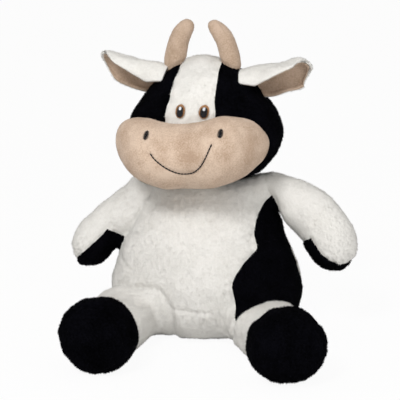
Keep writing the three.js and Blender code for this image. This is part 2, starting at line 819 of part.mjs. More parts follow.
// A sheet of even thickness that is rolled into a cup, between two depths inside the ear's outer face.
// Trim is how many steps its edges and tip stand back.
function earSheet(side, shallow, deep, trim) {
  const place = (far, radius, turn, depth) => {
    const inner = radius - depth;
    return vector(side * far, earSeat - radius + inner * Math.cos(turn), inner * Math.sin(turn));
  };
  const columns = earShares.slice(0, earShares.length - trim).map(([along, round, low, high]) => {
    const radius = (round * earWidth) / 2;
    const steps = Array.from({ length: earSteps + 1 }, (_, i) => i).slice(trim, earSteps + 1 - trim);
    const turns = steps.map((i) => Math.PI * (-low + ((low + high) * i) / earSteps));
    const back = turns.map((turn) => place(along * earLength, radius, turn, shallow));
    const front = turns.map((turn) => place(along * earLength, radius, turn, deep));
    return [...back, ...front.reverse()];
  });
  const size = columns[0].length;
  const triangles = [];
  for (let i = 0; i + 1 < columns.length; i++) {
    for (let j = 0; j < size; j++) {
      const next = (j + 1) % size;
      const low = i * size;
      const high = low + size;
      triangles.push([low + j, low + next, high + next], [low + j, high + next, high + j]);
    }
  }
  const end = (columns.length - 1) * size;
  for (let j = 0; j + 1 < size / 2; j++) {
    const pair = size - 1 - j;
    triangles.push([j, pair, pair - 1], [j, pair - 1, j + 1]);
    triangles.push([end + j, end + pair - 1, end + pair], [end + j, end + j + 1, end + pair - 1]);
  }
  const geometry = new THREE.BufferGeometry();
  geometry.setFromPoints(columns.flat());
  geometry.setIndex(triangles.flatMap(([a, b, c]) => (side > 0 ? [a, b, c] : [a, c, b])));
  return solidOf(geometry);
}

// Head: a white blaze over the crown, black sides, the stuffing, muzzle, horns and face.
const headGroup = group(cow, headPlace);
const headShell = cut(headForm(0), headForm(-coverWall));
const earRoom = (side) => placed(earBall(jointGap), earPlace(side));
const headRooms = [neckBall(jointGap), earRoom(1), earRoom(-1)];
const openHead = cut(headShell, ...headRooms);

// Blaze: half-width shares at heights in shares of the head.
const blazeShares = [
  [-0.1, 1.15],
  [0.5, 1.15],
  [0.62, 1.1],
  [0.7, 1.0],
  [0.84, 0.98],
  [1.1, 0.86],
];

function blazePrism(spread) {
  const edge = (side) =>
    blazeShares.map(([high, wide]) => [
      side * ((wide * blazeWidth) / 2 + spread),
      headRise + high * headHeight,
    ]);
  return prism(polygon([...edge(-1).reverse(), ...edge(1)]), -headDepth, headDepth);
}

piece(headGroup, "head_blaze", common(openHead, blazePrism(0)), materials.whitePlush);
for (const [name, side] of [["left", 1], ["right", -1]]) {
  const low = vector(side > 0 ? 0 : -headWidth, -headWidth, -headHeight);
  const half = block(low, vector(side > 0 ? headWidth : 0, headWidth, headHeight * 2));
  const cheek = common(cut(openHead, blazePrism(seamGap)), half);
  piece(headGroup, "head_side_" + name, cheek, materials.blackPlush);
}
piece(headGroup, "head_stuffing", cut(headForm(-coverWall - fillGap), ...headRooms), materials.stuffing);

const behindMuzzle = headForm(seamGap);
const muzzleShell = cut(muzzleForm(0), muzzleForm(-coverWall));
piece(headGroup, "muzzle_cover", cut(muzzleShell, behindMuzzle), materials.tanVelour);
const muzzleFill = cut(muzzleForm(-coverWall - fillGap), behindMuzzle);
piece(headGroup, "muzzle_stuffing", muzzleFill, materials.stuffing);

for (const [name, side] of [["left", 1], ["right", -1]]) {
  const nostrilX = nostrilAside + (side * nostrilSpacing) / 2;
  const nostril = ellipse(nostrilX, nostrilRise, nostrilWidth, nostrilHeight);
  const stitches = stitched(muzzleForm, muzzleForward, nostril, 0, muzzlePlace);
  piece(headGroup, "nostril_" + name, stitches, materials.blackThread);
  const eyeX = (side * eyeSpacing) / 2;
  const iris = ellipse(eyeX, eyeRise, eyeWidth, eyeHeight);
  const pupilZ = eyeRise - eyeHeight * pupilDropShare;
  const pupil = ellipse(eyeX, pupilZ, eyeWidth * pupilWidthShare, eyeHeight * pupilHeightShare);
  const glintZ = eyeRise + eyeHeight * glintRiseShare;
  const glint = ellipse(eyeX, glintZ, eyeWidth * glintShare, eyeHeight * glintShare);
  piece(headGroup, name + "_eye_iris", stitched(headForm, headForward, iris), materials.amberThread);
  piece(headGroup, name + "_eye_pupil", stitched(headForm, headForward, pupil, 1), materials.blackThread);
  piece(headGroup, name + "_eye_glint", stitched(headForm, headForward, glint, 2), materials.whiteThread);
}

// The smile is one arc of thread.
function smileShape() {
  const half = smileWidth / 2;
  const radius = (half * half + smileSag * smileSag) / (2 * smileSag);
  const centre = smileRise + radius - smileSag;
  const reach = Math.asin(half / radius);
  const from = -Math.PI / 2 - reach;
  const to = -Math.PI / 2 + reach;
  const shape = new THREE.Shape();
  shape.absarc(smileAside, centre, radius + smileThread / 2, from, to, false);
  shape.absarc(smileAside, centre, radius - smileThread / 2, to, from, true);
  shape.closePath();
  return shape;
}

const smile = stitched(muzzleForm, muzzleForward, smileShape(), 0, muzzlePlace);
piece(headGroup, "smile_stitch", smile, materials.blackThread);

// Horns: rise and inward lean shares, and half thickness shares, from inside the head to the tip.
const hornShares = [
  [-0.45, 0, 0],
  [-0.36, 0, 1.0],
  [0, 0, 1.0],
  [0.3, 0.08, 0.98],
  [0.6, 0.3, 0.92],
  [0.8, 0.56, 0.78],
  [0.92, 0.76, 0.53],
  [0.98, 0.86, 0.25],
  [1.0, 0.89, 0],
];

function hornForm(side) {
  const base = headRise + headHeight - hornSink;
  const inwards = side > 0 ? leftHornLean : rightHornLean;
  const place = ([high, lean]) =>
    vector(side * (headWidth * hornOutShare - lean * inwards), -headForward, base + high * hornHeight);
  const rings = hornShares.map((shares, i) => {
    const before = place(hornShares[Math.max(i - 1, 0)]);
    const after = place(hornShares[Math.min(i + 1, hornShares.length - 1)]);
    const along = after.sub(before).normalize();
    const across = yAxis.clone().cross(along).normalize();
    const half = (shares[2] * hornThickness) / 2;
    return ring(place(shares), across, along.clone().cross(across), half, half);
  });
  return cut(loft(rings, hornSides), headForm(seamGap));
}

for (const [name, side] of [["left", 1], ["right", -1]]) {
  piece(headGroup, "horn_" + name, hornForm(side), materials.tanVelour);
  const ear = group(headGroup, earPlace(side));
  const headAway = sweptRoom(headForm(jointGap), earPlace(side).invert(), flapAxis, [0]);
  const flaps = [-side * earDownAngle, 0, side * earUpAngle];
  const swept = sweptRoom(headAway, new THREE.Matrix4(), flapAxis, flaps);
  const outer = joined(cut(earSheet(side, 0, earWall, 0), swept), earBall(0));
  const liningSheet = earSheet(side, earWall + liningGap, 2 * earWall + liningGap, 1);
  const lining = cut(liningSheet, swept, earBall(seamGap));
  piece(ear, name + "_ear_outer", outer, materials.whitePlush);
  piece(ear, name + "_ear_lining", lining, materials.tanVelour);
}

// Tail: a cord-like sleeve with a black tuft, lying back on to the floor.
const tailShares = [
  [-0.03, 0, 0],
  [0, 0, 1.0],
  [0.18, 0.04, 1.0],
  [0.36, 0.14, 0.95],
  [0.54, 0.24, 0.92],
  [0.56, 0.245, 0],
];
const tuftShares = [
  [0.565, 0.25, 0],
  [0.58, 0.25, 0.72],
  [0.68, 0.27, 0.96],
  [0.8, 0.28, 1.0],
  [0.92, 0.28, 0.72],
  [1, 0.28, 0],
];

function tailForm(shares, thickness) {
  const place = ([out, down]) => vector(0, out * tailLength, -down * tailLength);
  const rings = shares.map((each, i) => {
    const before = place(shares[Math.max(i - 1, 0)]);
    const after = place(shares[Math.min(i + 1, shares.length - 1)]);
    const along = after.sub(before).normalize();
    const half = (each[2] * thickness) / 2;
    return ring(place(each), xAxis, along.clone().cross(xAxis), half, half);
  });
  return loft(rings, hornSides);
}

const tailGroup = group(cow, tailPlace);
const tailSleeve = joined(tailForm(tailShares, tailThickness), tailBall(0));
const tuft = tailForm(tuftShares, tuftThickness);
const tuftRoom = tailForm([...tailShares.slice(0, -1), tuftShares[0]], tailThickness + 2 * seamGap);
piece(tailGroup, "tail_sleeve", tailSleeve, materials.whitePlush);
piece(tailGroup, "tail_tuft", cut(tuft, tuftRoom), materials.blackPlush);

export default cow;
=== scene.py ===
# A plush cow that sits on a pale floor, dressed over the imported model.
import json
import math

import bmesh
import bpy
import numpy as np
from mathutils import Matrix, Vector
from mathutils.bvhtree import BVHTree

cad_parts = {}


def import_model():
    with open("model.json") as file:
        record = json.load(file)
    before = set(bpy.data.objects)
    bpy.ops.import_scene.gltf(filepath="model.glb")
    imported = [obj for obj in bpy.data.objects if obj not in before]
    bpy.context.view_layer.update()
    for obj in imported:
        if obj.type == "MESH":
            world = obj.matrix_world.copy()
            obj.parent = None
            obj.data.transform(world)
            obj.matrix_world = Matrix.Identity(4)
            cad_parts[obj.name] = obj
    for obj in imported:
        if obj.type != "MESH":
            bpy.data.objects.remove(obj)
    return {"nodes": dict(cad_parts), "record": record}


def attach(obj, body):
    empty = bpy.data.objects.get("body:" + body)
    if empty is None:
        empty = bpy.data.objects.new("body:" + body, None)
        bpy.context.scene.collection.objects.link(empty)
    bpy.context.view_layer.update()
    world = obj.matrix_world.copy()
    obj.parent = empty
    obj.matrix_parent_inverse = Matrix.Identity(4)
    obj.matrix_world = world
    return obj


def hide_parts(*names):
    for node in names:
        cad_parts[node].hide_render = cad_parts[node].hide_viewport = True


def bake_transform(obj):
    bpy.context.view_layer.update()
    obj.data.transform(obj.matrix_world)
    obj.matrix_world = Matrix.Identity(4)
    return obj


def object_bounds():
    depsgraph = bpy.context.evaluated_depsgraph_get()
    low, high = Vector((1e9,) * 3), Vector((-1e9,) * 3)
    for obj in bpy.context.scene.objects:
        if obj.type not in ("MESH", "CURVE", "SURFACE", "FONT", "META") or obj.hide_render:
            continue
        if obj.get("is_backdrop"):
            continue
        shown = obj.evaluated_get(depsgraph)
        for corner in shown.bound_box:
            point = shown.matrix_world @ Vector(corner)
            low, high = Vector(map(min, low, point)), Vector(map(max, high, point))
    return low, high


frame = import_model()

cad_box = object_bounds()

# Lengths are in millimetres in the frame's own axes, and MM turns them into metres.
MM = 0.001
X_AXIS, Y_AXIS, Z_AXIS = np.eye(3)

# Torso.
TORSO_HEIGHT = 152
TORSO_WIDTH = 196
TORSO_DEPTH = 164
BELLY_FORWARD = 4
SIDE_SEAM_BACK = 12
REST_CUT = 0.5

# Head and muzzle, above the neck.
HEAD_RISE = 2
HEAD_HEIGHT = 122
HEAD_WIDTH = 154
HEAD_DEPTH = 126
HEAD_FORWARD = 8
BLAZE_WIDTH = 45
MUZZLE_WIDTH = 150
MUZZLE_HEIGHT = 70
MUZZLE_DEPTH = 70
MUZZLE_RISE = 37
MUZZLE_FORWARD = 69
MUZZLE_ASIDE = -2.5
MUZZLE_TILT = 4
BLAZE_ASIDE = -2.5

# Horns and ears.
HORN_HEIGHT = 50
LEFT_HORN_LEAN = 23
RIGHT_HORN_LEAN = 17
HORN_THICKNESS = 21.6
HORN_SPACING = 56
HORN_SINK = 16
HORN_ASIDE = -2.5
EAR_LENGTH = 64
EAR_WIDTH = 44
EAR_SEAT = 8
EAR_ROLL = 58
LEFT_EAR_TILT = 11
RIGHT_EAR_TILT = 12
EAR_WALL = 2.2
EAR_ROOT = 1
NECK_RADIUS = 31.5

# Face. Each side of the smile has a width, a height and the power that it rises by.
EYE_SPACING = 22.4
EYE_RISE = 76.5
EYE_WIDTH = 9.8
EYE_HEIGHT = 12.8
NOSTRIL_SPACING = 71
NOSTRIL_RISE = 61
NOSTRIL_ASIDE = 4.5
NOSTRIL_WIDTH = 5
NOSTRIL_HEIGHT = 7
NOSTRIL_LEAN = 3
NOSTRIL_LIFT = 1.1
SMILE_RISE = 24.7
SMILE_ASIDE = 2.2
SMILE_SIDES = (28.5, 20.5, 1.7), (30.3, 27.6, 2.75)
SMILE_STITCHES = 26
SMILE_LIFT = 0.75
SMILE_RADIUS = 0.68
PILE_LIFT = 1.5
THREAD_PITCH = 0.45
THREAD_RADIUS = 0.3

# Searches: from how far in front and from how near a form is looked for, what stands for out of reach,
# the step in a distance that is the end of its region and not a seam, how close is on a form or on a
# seam, and how many points are worked on at once.
FRONT_REACH = 300
NEAR_REACH = 36
FAR_AWAY = 99.0
GATE_STEP = 20
TOUCHING = 0.05
SEAM_SNAP = 0.15
CHUNK = 8192

# Limbs.
ARM_REACH = 87
ARM_DROP = 70
ARM_FORWARD = 10
LEFT_ARM_RAISE = 5
RIGHT_ARM_RAISE = 0
ARM_THICKNESS = 50
LEG_LENGTH = 146
THIGH_WIDTH = 64
THIGH_THICKNESS = 46
FOOT_WIDTH = 70.5
FOOT_HEIGHT = 70

# Tail and zip.
ZIP_LENGTH = 62
ZIP_RISE = 60
ZIP_TAPE_WIDTH = 9
ZIP_TEETH_WIDTH = 4
ZIP_TAPE_OUT = -2.8
ZIP_TAPE_WALL = 1.2
ZIP_SLOT_WIDTH = 11
TAIL_LENGTH = 78
TAIL_THICKNESS = 12
TUFT_THICKNESS = 18

# Seams: the groove at a seam, and how far the fabric swells and puckers beside it.
GROOVE_DEPTH = 1.9
GROOVE_WIDTH = 2.4
PUFF_HEIGHT = 0.9
PUFF_REACH = 12
PUCKER_SIZE = 9
PUCKER_HEIGHT = 0.5
PUCKER_REACH = 8

# The unevenness of stuffing: the size and height of its lumps, and how much of it each part shows.
LUMPS = [(58, 0.9), (21, 0.4), (7, 0.13)]
TORSO_LUMPS = 0.8
HEAD_LUMPS = 0.7
MUZZLE_LUMPS = 0.6
LIMB_LUMPS = 0.45
TAIL_LUMPS = 0.3

# A tuft's half width in shares of its length.
TUFT_WIDTH_SHARE = 0.16

# How far covers and their pile stay above the floor.
COVER_FLOOR = 0.2
PILE_FLOOR = 0.1

# How many rings each form has, and how many sides a ring has.
TORSO_GRID = 190, 340
HEAD_GRID = 150, 280
MUZZLE_GRID = 170, 170
ARM_GRID = 110, 120
LEG_GRID = 150, 150
HORN_GRID = 70, 72
NECK_GRID = 40, 72
TAIL_GRID = 60, 40


def turned(axis, degrees):
    """A matrix that turns by an angle about an axis."""
    x, y, z = axis
    cross = np.array([[0, -z, y], [z, 0, -x], [-y, x, 0]])
    angle = math.radians(degrees)
    return np.eye(3) + math.sin(angle) * cross + (1 - math.cos(angle)) * cross @ cross


def joint(name):
    """A joint's record."""
    return next(each for each in frame["record"]["behaviour"]["joints"] if each["name"] == name)


def pivot(name):
    """A joint's centre in the frame, in millimetres."""
    return np.array(joint(name)["pos_m"]) / MM


def unit(vectors):
    return vectors / np.maximum(np.linalg.norm(vectors, axis=-1, keepdims=True), 1e-9)


def waves(points, size, seed, count=28):
    """A smooth random field with a spread of about 1, whose lumps are about size across."""
    rng = np.random.default_rng(seed)
    directions = unit(rng.normal(size=(count, 3)))
    lengths = size * rng.uniform(0.8, 1.7, count)
    phases = rng.uniform(0, 2 * math.pi, count)
    turns = points @ (directions * (2 * math.pi / lengths)[:, None]).T + phases
    return np.sin(turns).sum(axis=1) * (2 / count) ** 0.5


def curve(rows, count):
    """Even steps along a smooth curve through the rows, which ends at the second row from either end."""
    rows = np.asarray(rows, float)
    spans = np.linalg.norm(np.diff(rows, axis=0), axis=1) ** 0.5
    knots = np.concatenate([[0], np.cumsum(spans)])
    slopes = np.gradient(rows, knots, axis=0)
    fine = np.linspace(knots[1], knots[-2], 60 * len(rows))
    i = np.clip(np.searchsorted(knots, fine, side="right") - 1, 1, len(knots) - 3)
    width = (knots[i + 1] - knots[i])[:, None]
    t = (fine - knots[i])[:, None] / width
    found = (
        (2 * t**3 - 3 * t**2 + 1) * rows[i]
        + (t**3 - 2 * t**2 + t) * width * slopes[i]
        + (3 * t**2 - 2 * t**3) * rows[i + 1]
        + (t**3 - t**2) * width * slopes[i + 1]
    )
    run = np.concatenate([[0], np.cumsum(np.linalg.norm(np.diff(found, axis=0), axis=1))])
    steps = np.linspace(0, run[-1], count)
    return np.stack([np.interp(steps, run, column) for column in found.T], axis=1)


class Form:
    """A closed soft form through rings. A row holds a centre, two half sizes and a fullness."""

    def __init__(self, rows, grid, place=(np.zeros(3), np.eye(3)), across=None, up=None):
        rings, self.sides = grid
        rows = [list(row) + [1] * (6 - len(row)) for row in rows]
        flipped = lambda row: row[:3] + [-row[3], -row[4], row[5]]
        smooth = curve([flipped(rows[1])] + rows + [flipped(rows[-2])], rings)
        origin, matrix = place
        centre = smooth[:, :3]
        if across is None:
            along = unit(np.gradient(centre, axis=0))
            across = unit(np.cross(Y_AXIS, along))
            up = np.cross(along, across)
        self.across = np.broadcast_to(across, centre.shape) @ matrix.T
        self.up = np.broadcast_to(up, centre.shape) @ matrix.T
        self.centre = centre @ matrix.T + origin
        self.wide, self.high, self.full = smooth[:, 3], smooth[:, 4], smooth[:, 5]
        self.wide[[0, -1]] = 0
        self.high[[0, -1]] = 0
        along = np.cross(self.across, self.up)
        if np.dot(self.centre[-1] - self.centre[0], along[len(along) // 2]) < 0:
            self.up, along = -self.up, -along
        self.along = along
        self.tree = None

    def mesh(self):
        """The form as a bmesh, in millimetres."""
        turns = np.linspace(0, 2 * math.pi, self.sides, endpoint=False)
        bent = lambda wave, full: np.sign(wave) * np.abs(wave) ** full[:, None]
        cos = bent(np.cos(turns)[None, :], self.full)
        sin = bent(np.sin(turns)[None, :], self.full)
        grid = (
            self.centre[:, None, :]
            + self.across[:, None, :] * (self.wide[:, None] * cos)[:, :, None]
            + self.up[:, None, :] * (self.high[:, None] * sin)[:, :, None]
        )
        bm = bmesh.new()
        first = bm.verts.new(grid[0, 0])
        last = bm.verts.new(grid[-1, 0])
        rows = [[bm.verts.new(place) for place in row] for row in grid[1:-1]]
        for j in range(self.sides):
            after = (j + 1) % self.sides
            bm.faces.new((first, rows[0][after], rows[0][j]))
            bm.faces.new((last, rows[-1][j], rows[-1][after]))
            for low, high in zip(rows, rows[1:]):
                bm.faces.new((low[j], low[after], high[after], high[j]))
        return bm

    def outside(self, points):
        """About how far points lie outside the form's surface, by the ring that each is level with."""
        found = np.empty(len(points))
        for start in range(0, len(points), CHUNK):
            some = points[start : start + CHUNK]
            offset = some[:, None, :] - self.centre[None]
            level = np.abs(np.einsum("nrk,rk->nr", offset, self.along))
            distance = np.linalg.norm(offset, axis=2)
            ring = np.argmin(level + 0.02 * distance, axis=1)
            rows = np.arange(len(some))
            wide = np.maximum(self.wide[ring], 1)
            high = np.maximum(self.high[ring], 1)
            u = np.einsum("nk,nk->n", offset[rows, ring], self.across[ring]) / wide
            v = np.einsum("nk,nk->n", offset[rows, ring], self.up[ring]) / high
            inside = (np.hypot(u, v) - 1) * np.minimum(wide, high)
            found[start : start + CHUNK] = np.maximum(inside, level[rows, ring] - 1)
        return found

    def near(self, points):
        """Signed distances to the form, and the ways that it faces there, for points close to it."""
        if self.tree is None:
            bm = self.mesh()
            bm.normal_update()
            self.tree = BVHTree.FromBMesh(bm)
            bm.free()
        found = np.full(len(points), FAR_AWAY)
        ways = np.zeros((len(points), 3))
        room = max(self.wide.max(), self.high.max()) + NEAR_REACH
        low, high = self.centre.min(axis=0) - room, self.centre.max(axis=0) + room
        asked = np.nonzero(((points > low) & (points < high)).all(axis=1))[0]
        answers = [self.tree.find_nearest(place, NEAR_REACH) for place in points[asked].tolist()]
        met = np.array([place is not None for place, _, _, _ in answers], bool)
        if not met.any():
            return found, ways
        asked = asked[met]
        places = np.array([tuple(place) for place, _, _, _ in answers if place is not None])
        normals = np.array([tuple(normal) for place, normal, _, _ in answers if place is not None])
        offset = points[asked] - places
        distance = np.linalg.norm(offset, axis=1)
        sense = np.where((offset * normals).sum(axis=1) > 0, 1.0, -1.0)
        found[asked] = sense * distance
        clear = (distance > TOUCHING)[:, None]
        outwards = offset * (sense / np.maximum(distance, TOUCHING))[:, None]
        ways[asked] = np.where(clear, outwards, normals)
        return found, ways


def read_mesh(bm):
    """The vertices and normals of a bmesh as arrays."""
    bm.normal_update()
    bm.verts.ensure_lookup_table()
    places = np.array([vertex.co[:] for vertex in bm.verts])
    normals = np.array([vertex.normal[:] for vertex in bm.verts])
    return places, normals


def mesh_arrays(mesh):
    """The places of a mesh's vertices, and the vertices of its edges."""
    places = np.empty(len(mesh.vertices) * 3)
    mesh.vertices.foreach_get("co", places)
    pairs = np.empty(len(mesh.edges) * 2, int)
    mesh.edges.foreach_get("vertices", pairs)
    return places.reshape(-1, 3), pairs.reshape(-1, 2)


def remembered(value):
    """Keeps the last answer, since several panels ask about the same points."""
    last = []

    def ask(points):
        if not last or last[0] is not points:
            last[:] = [points, value(points)]
        return last[1]

    return ask


def cut_along(bm, value):
    """Splits edges and faces where value changes sign, so that a seam runs along edges."""
    bm.verts.index_update()
    mesh = bpy.data.meshes.new("cut")
    bm.to_mesh(mesh)
    places, pairs = mesh_arrays(mesh)
    bpy.data.meshes.remove(mesh)
    found = value(places)
    found[np.abs(found) < SEAM_SNAP] = 0
    ends = found[pairs]
    crossing = (ends.prod(axis=1) < 0) & (np.abs(ends[:, 0] - ends[:, 1]) < GATE_STEP)
    vertices, edges = list(bm.verts), list(bm.edges)
    on_seam = dict.fromkeys(vertices[i] for i in np.nonzero(found == 0)[0])
    for i in np.nonzero(crossing)[0]:
        first = edges[i].verts[0]
        own = found[first.index]
        share = own / (2 * own - ends[i].sum())
        on_seam[bmesh.utils.edge_split(edges[i], first, share)[1]] = None
    level = lambda vertex: 0 if vertex in on_seam else found[vertex.index]
    for face in dict.fromkeys(face for vertex in on_seam for face in vertex.link_faces):
        signs = [level(vertex) for vertex in face.verts]
        if min(signs) >= 0 or max(signs) <= 0 or max(signs) - min(signs) > GATE_STEP:
            continue
        zeros = [vertex for vertex in face.verts if vertex in on_seam]
        for vertex in zeros[1:]:
            linked = any(vertex in edge.verts and zeros[0] in edge.verts for edge in face.edges)
            if not linked:
                bmesh.utils.face_split(face, zeros[0], vertex)
                break


def relief(points, seed, lump=1.0):
    """The unevenness of a stuffed cover."""
    return lump * sum(height * waves(points, size, seed + i) for i, (size, height) in enumerate(LUMPS))


def crease(outside, depth, width):
    """The fold or groove where two pieces meet."""
    return -depth * np.exp(-((outside / width) ** 2))


def sewn(near, points, seed, depth=GROOVE_DEPTH):
    """The groove at a seam, the swell beside it and the puckers that its thread draws."""
    puff = PUFF_HEIGHT * (1 - np.exp(-near / PUFF_REACH))
    pucker = PUCKER_HEIGHT * np.exp(-near / PUCKER_REACH) * waves(points, PUCKER_SIZE, seed)
    return crease(near, depth, GROOVE_WIDTH) + puff + pucker


def displaced(bm, move):
    """Moves the vertices along their normals by move(points)."""
    places, normals = read_mesh(bm)
    moved = places + normals * move(places)[:, None]
    for vertex, place in zip(bm.verts, moved):
        vertex.co = place


def run_together(places, forms, width):
    """Moves points of a joined body to where its forms would run smoothly into one another."""
    levels = np.sort([form.near(places)[0] for form in forms], axis=0)
    close = levels[1] < width(places)
    some = places[close]
    room = width(some)
    for _ in range(4):
        level, way = forms[0].near(some)
        for form in forms[1:]:
            beside, beside_way = form.near(some)
            share = np.clip(0.5 + 0.5 * (level - beside) / room, 0, 1)
            level = level * (1 - share) + beside * share - room * share * (1 - share)
            way = way * (1 - share)[:, None] + beside_way * share[:, None]
        size = np.linalg.norm(way, axis=1, keepdims=True)
        some = some - unit(way) * level[:, None] / np.maximum(size, 0.6)
    places[close] = some
    return close


def eased(places, edges, weights, steps):
    """Points drawn towards the middle of their neighbours."""
    count = np.bincount(edges.ravel(), minlength=len(places))[:, None]
    for _ in range(steps):
        total = np.zeros_like(places)
        np.add.at(total, edges[:, 0], places[edges[:, 1]])
        np.add.at(total, edges[:, 1], places[edges[:, 0]])
        places = places + (total / count - places) * weights[:, None]
    return places


def shaped(mesh, kind, **settings):
    """A mesh as one modifier leaves it."""
    made = bpy.data.objects.new("shaped", mesh)
    bpy.context.scene.collection.objects.link(made)
    modifier = made.modifiers.new("shaped", kind)
    for name, value in settings.items():
        setattr(modifier, name, value)
    found = bpy.data.meshes.new_from_object(made.evaluated_get(bpy.context.evaluated_depsgraph_get()))
    bpy.data.objects.remove(made)
    return found


def joined_form(forms, size, width):
    """One closed bmesh round several forms, with faces of about half that size."""
    bm = bmesh.new()
    for form in forms:
        part = form.mesh()
        mesh = bpy.data.meshes.new("part")
        part.to_mesh(mesh)
        part.free()
        bm.from_mesh(mesh)
    mesh = bpy.data.meshes.new("joined")
    bm.to_mesh(mesh)
    bm.free()
    mesh = shaped(mesh, "REMESH", mode="VOXEL", voxel_size=size)
    places, edges = mesh_arrays(mesh)
    close = run_together(places, forms, width)
    places = eased(places, edges, np.where(close, 0.5, 0.25), 4)
    places = eased(places, edges, np.where(close, 0.5, 0.0), 8)
    mesh.vertices.foreach_set("co", places.ravel())
    mesh = shaped(mesh, "SUBSURF", levels=1, render_levels=1)
    bm = bmesh.new()
    bm.from_mesh(mesh)
    return bm


def add_object(name, mesh, material):
    made = bpy.data.objects.new(name, mesh)
    bpy.context.scene.collection.objects.link(made)
    mesh.materials.append(material)
    return made


def marked(bm, panels):
    """Numbers each face by the panel that its middle is in, from 1, before the cover is shaped."""
    middles = np.array([face.calc_center_median()[:] for face in bm.faces])
    numbers = np.zeros(len(middles), int)
    for i, (_, inside, *_) in enumerate(panels):
        numbers[inside(middles)] = i + 1
    for face, number in zip(bm.faces, numbers):
        face.material_index = number


def panel(name, bm, number, material):
    """One panel of a cover, as an object of its own. Number 0 takes the whole cover."""
    kept = bm.copy()
    spare = [face for face in kept.faces if number and face.material_index != number]
    bmesh.ops.delete(kept, geom=spare, context="FACES")
    for face in kept.faces:
        face.material_index = 0
    for vertex in kept.verts:
        vertex.co = vertex.co * MM
    mesh = bpy.data.meshes.new(name)
    kept.to_mesh(mesh)
    kept.free()
    mesh.shade_smooth()
    return add_object(name, mesh, material)


def pile(source, name, material, length, spacing, seed, comb):
    """Short three-sided tufts all over a cover, that lie a little along comb."""
    mesh = source.data
    mesh.calc_loop_triangles()
    corners = np.empty(len(mesh.loop_triangles) * 3, int)
    mesh.loop_triangles.foreach_get("vertices", corners)
    corners = corners.reshape(-1, 3)
    places = mesh_arrays(mesh)[0] / MM
    normals = np.empty(len(mesh.vertices) * 3)
    mesh.vertex_normals.foreach_get("vector", normals)
    normals = normals.reshape(-1, 3)
    a, b, c = (places[corners[:, k]] for k in range(3))
    areas = np.linalg.norm(np.cross(b - a, c - a), axis=1) / 2
    rng = np.random.default_rng(seed)
    count = int(areas.sum() / spacing**2)
    picked = rng.choice(len(corners), count, p=areas / areas.sum())
    s, t = rng.random(count), rng.random(count)
    over = s + t > 1
    s[over], t[over] = 1 - s[over], 1 - t[over]
    weights = np.stack([1 - s - t, s, t], axis=1)
    roots = np.einsum("nk,nkd->nd", weights, places[corners[picked]])
    facing = unit(np.einsum("nk,nkd->nd", weights, normals[corners[picked]]))
    fall = np.array(comb) - facing * (facing @ np.array(comb))[:, None]
    stray = rng.normal(size=(count, 3))
    lean = unit(facing * 0.7 + 0.5 * fall + 0.26 * stray)
    reach = length * rng.uniform(0.7, 1.1, count)[:, None]
    side = unit(np.cross(lean, rng.normal(size=(count, 3))))
    other = np.cross(lean, side)
    roots = roots - facing * (length * 0.15)
    turns = 2 * math.pi * np.arange(3) / 3
    ring = side[:, None] * np.cos(turns)[None, :, None] + other[:, None] * np.sin(turns)[None, :, None]
    feet = roots[:, None] + ring * (length * TUFT_WIDTH_SHARE)
    tips = (roots + lean * reach)[:, None]
    points = np.concatenate([feet, tips], axis=1)
    points[..., 2] = np.maximum(points[..., 2], PILE_FLOOR)
    outwards = np.concatenate([ring, lean[:, None]], axis=1)
    shading = unit(facing[:, None] + 0.35 * outwards)
    first = 4 * np.arange(count)[:, None, None]
    faces = (first + np.array([[0, 1, 3], [1, 2, 3], [2, 0, 3]])).reshape(-1)
    made = bpy.data.meshes.new(name)
    made.vertices.add(count * 4)
    made.vertices.foreach_set("co", (points * MM).ravel())
    made.loops.add(len(faces))
    made.loops.foreach_set("vertex_index", faces)
    made.polygons.add(count * 3)
    made.polygons.foreach_set("loop_start", 3 * np.arange(count * 3))
    made.update(calc_edges=True)
    made.shade_smooth()
    made.normals_split_custom_set_from_vertices(shading.reshape(-1, 3))
    return add_object(name, made, material)


# Materials.
def set_inputs(node, values):
    for name, value in dict(values).items():
        node.inputs[name].default_value = value


def add_node(tree, kind, values=(), **settings):
    """A new node, with the values of its inputs and its own settings."""
    node = tree.nodes.new("ShaderNode" + kind)
    set_inputs(node, values)
    for name, value in settings.items():
        setattr(node, name, value)
    return node


def wire(tree, *links):
    """Joins nodes. A link is a node and its output, then a node and its input."""
    for source, output, target, entry in links:
        tree.links.new(source.outputs[output], target.inputs[entry])


def fabric(name, deep, pale, grain, bump, sheen, roughness=0.95, gloss=0.15):
    """A pile or velour: its colour varies between deep and pale in patches and in grains."""
    material = bpy.data.materials.new(name)
    material.use_nodes = True
    tree = material.node_tree
    shader = tree.nodes["Principled BSDF"]
    set_inputs(shader, {"Roughness": roughness, "Sheen Weight": sheen, "Sheen Roughness": 0.5})
    set_inputs(shader, {"Specular IOR Level": gloss})
    place = add_node(tree, "TexCoord")
    fine = add_node(tree, "TexNoise", {"Scale": 1 / (grain * MM), "Detail": 3})
    broad = add_node(tree, "TexNoise", {"Scale": 1 / (14 * grain * MM), "Detail": 2})
    mixed = add_node(tree, "Math", operation="ADD")
    halved = add_node(tree, "Math", {1: 0.5}, operation="MULTIPLY")
    ramp = add_node(tree, "ValToRGB")
    for i, (position, colour) in enumerate(((0.36, deep), (0.6, pale))):
        ramp.color_ramp.elements[i].position = position
        ramp.color_ramp.elements[i].color = (*colour, 1)
    raised = add_node(tree, "Bump", {"Strength": bump, "Distance": grain * MM})
    wire(
        tree,
        (place, "Object", fine, "Vector"),
        (place, "Object", broad, "Vector"),
        (fine, "Fac", mixed, 0),
        (broad, "Fac", mixed, 1),
        (mixed, 0, halved, 0),
        (halved, 0, ramp, "Fac"),
        (ramp, "Color", shader, "Base Color"),
        (fine, "Fac", raised, "Height"),
        (raised, "Normal", shader, "Normal"),
    )
    return material


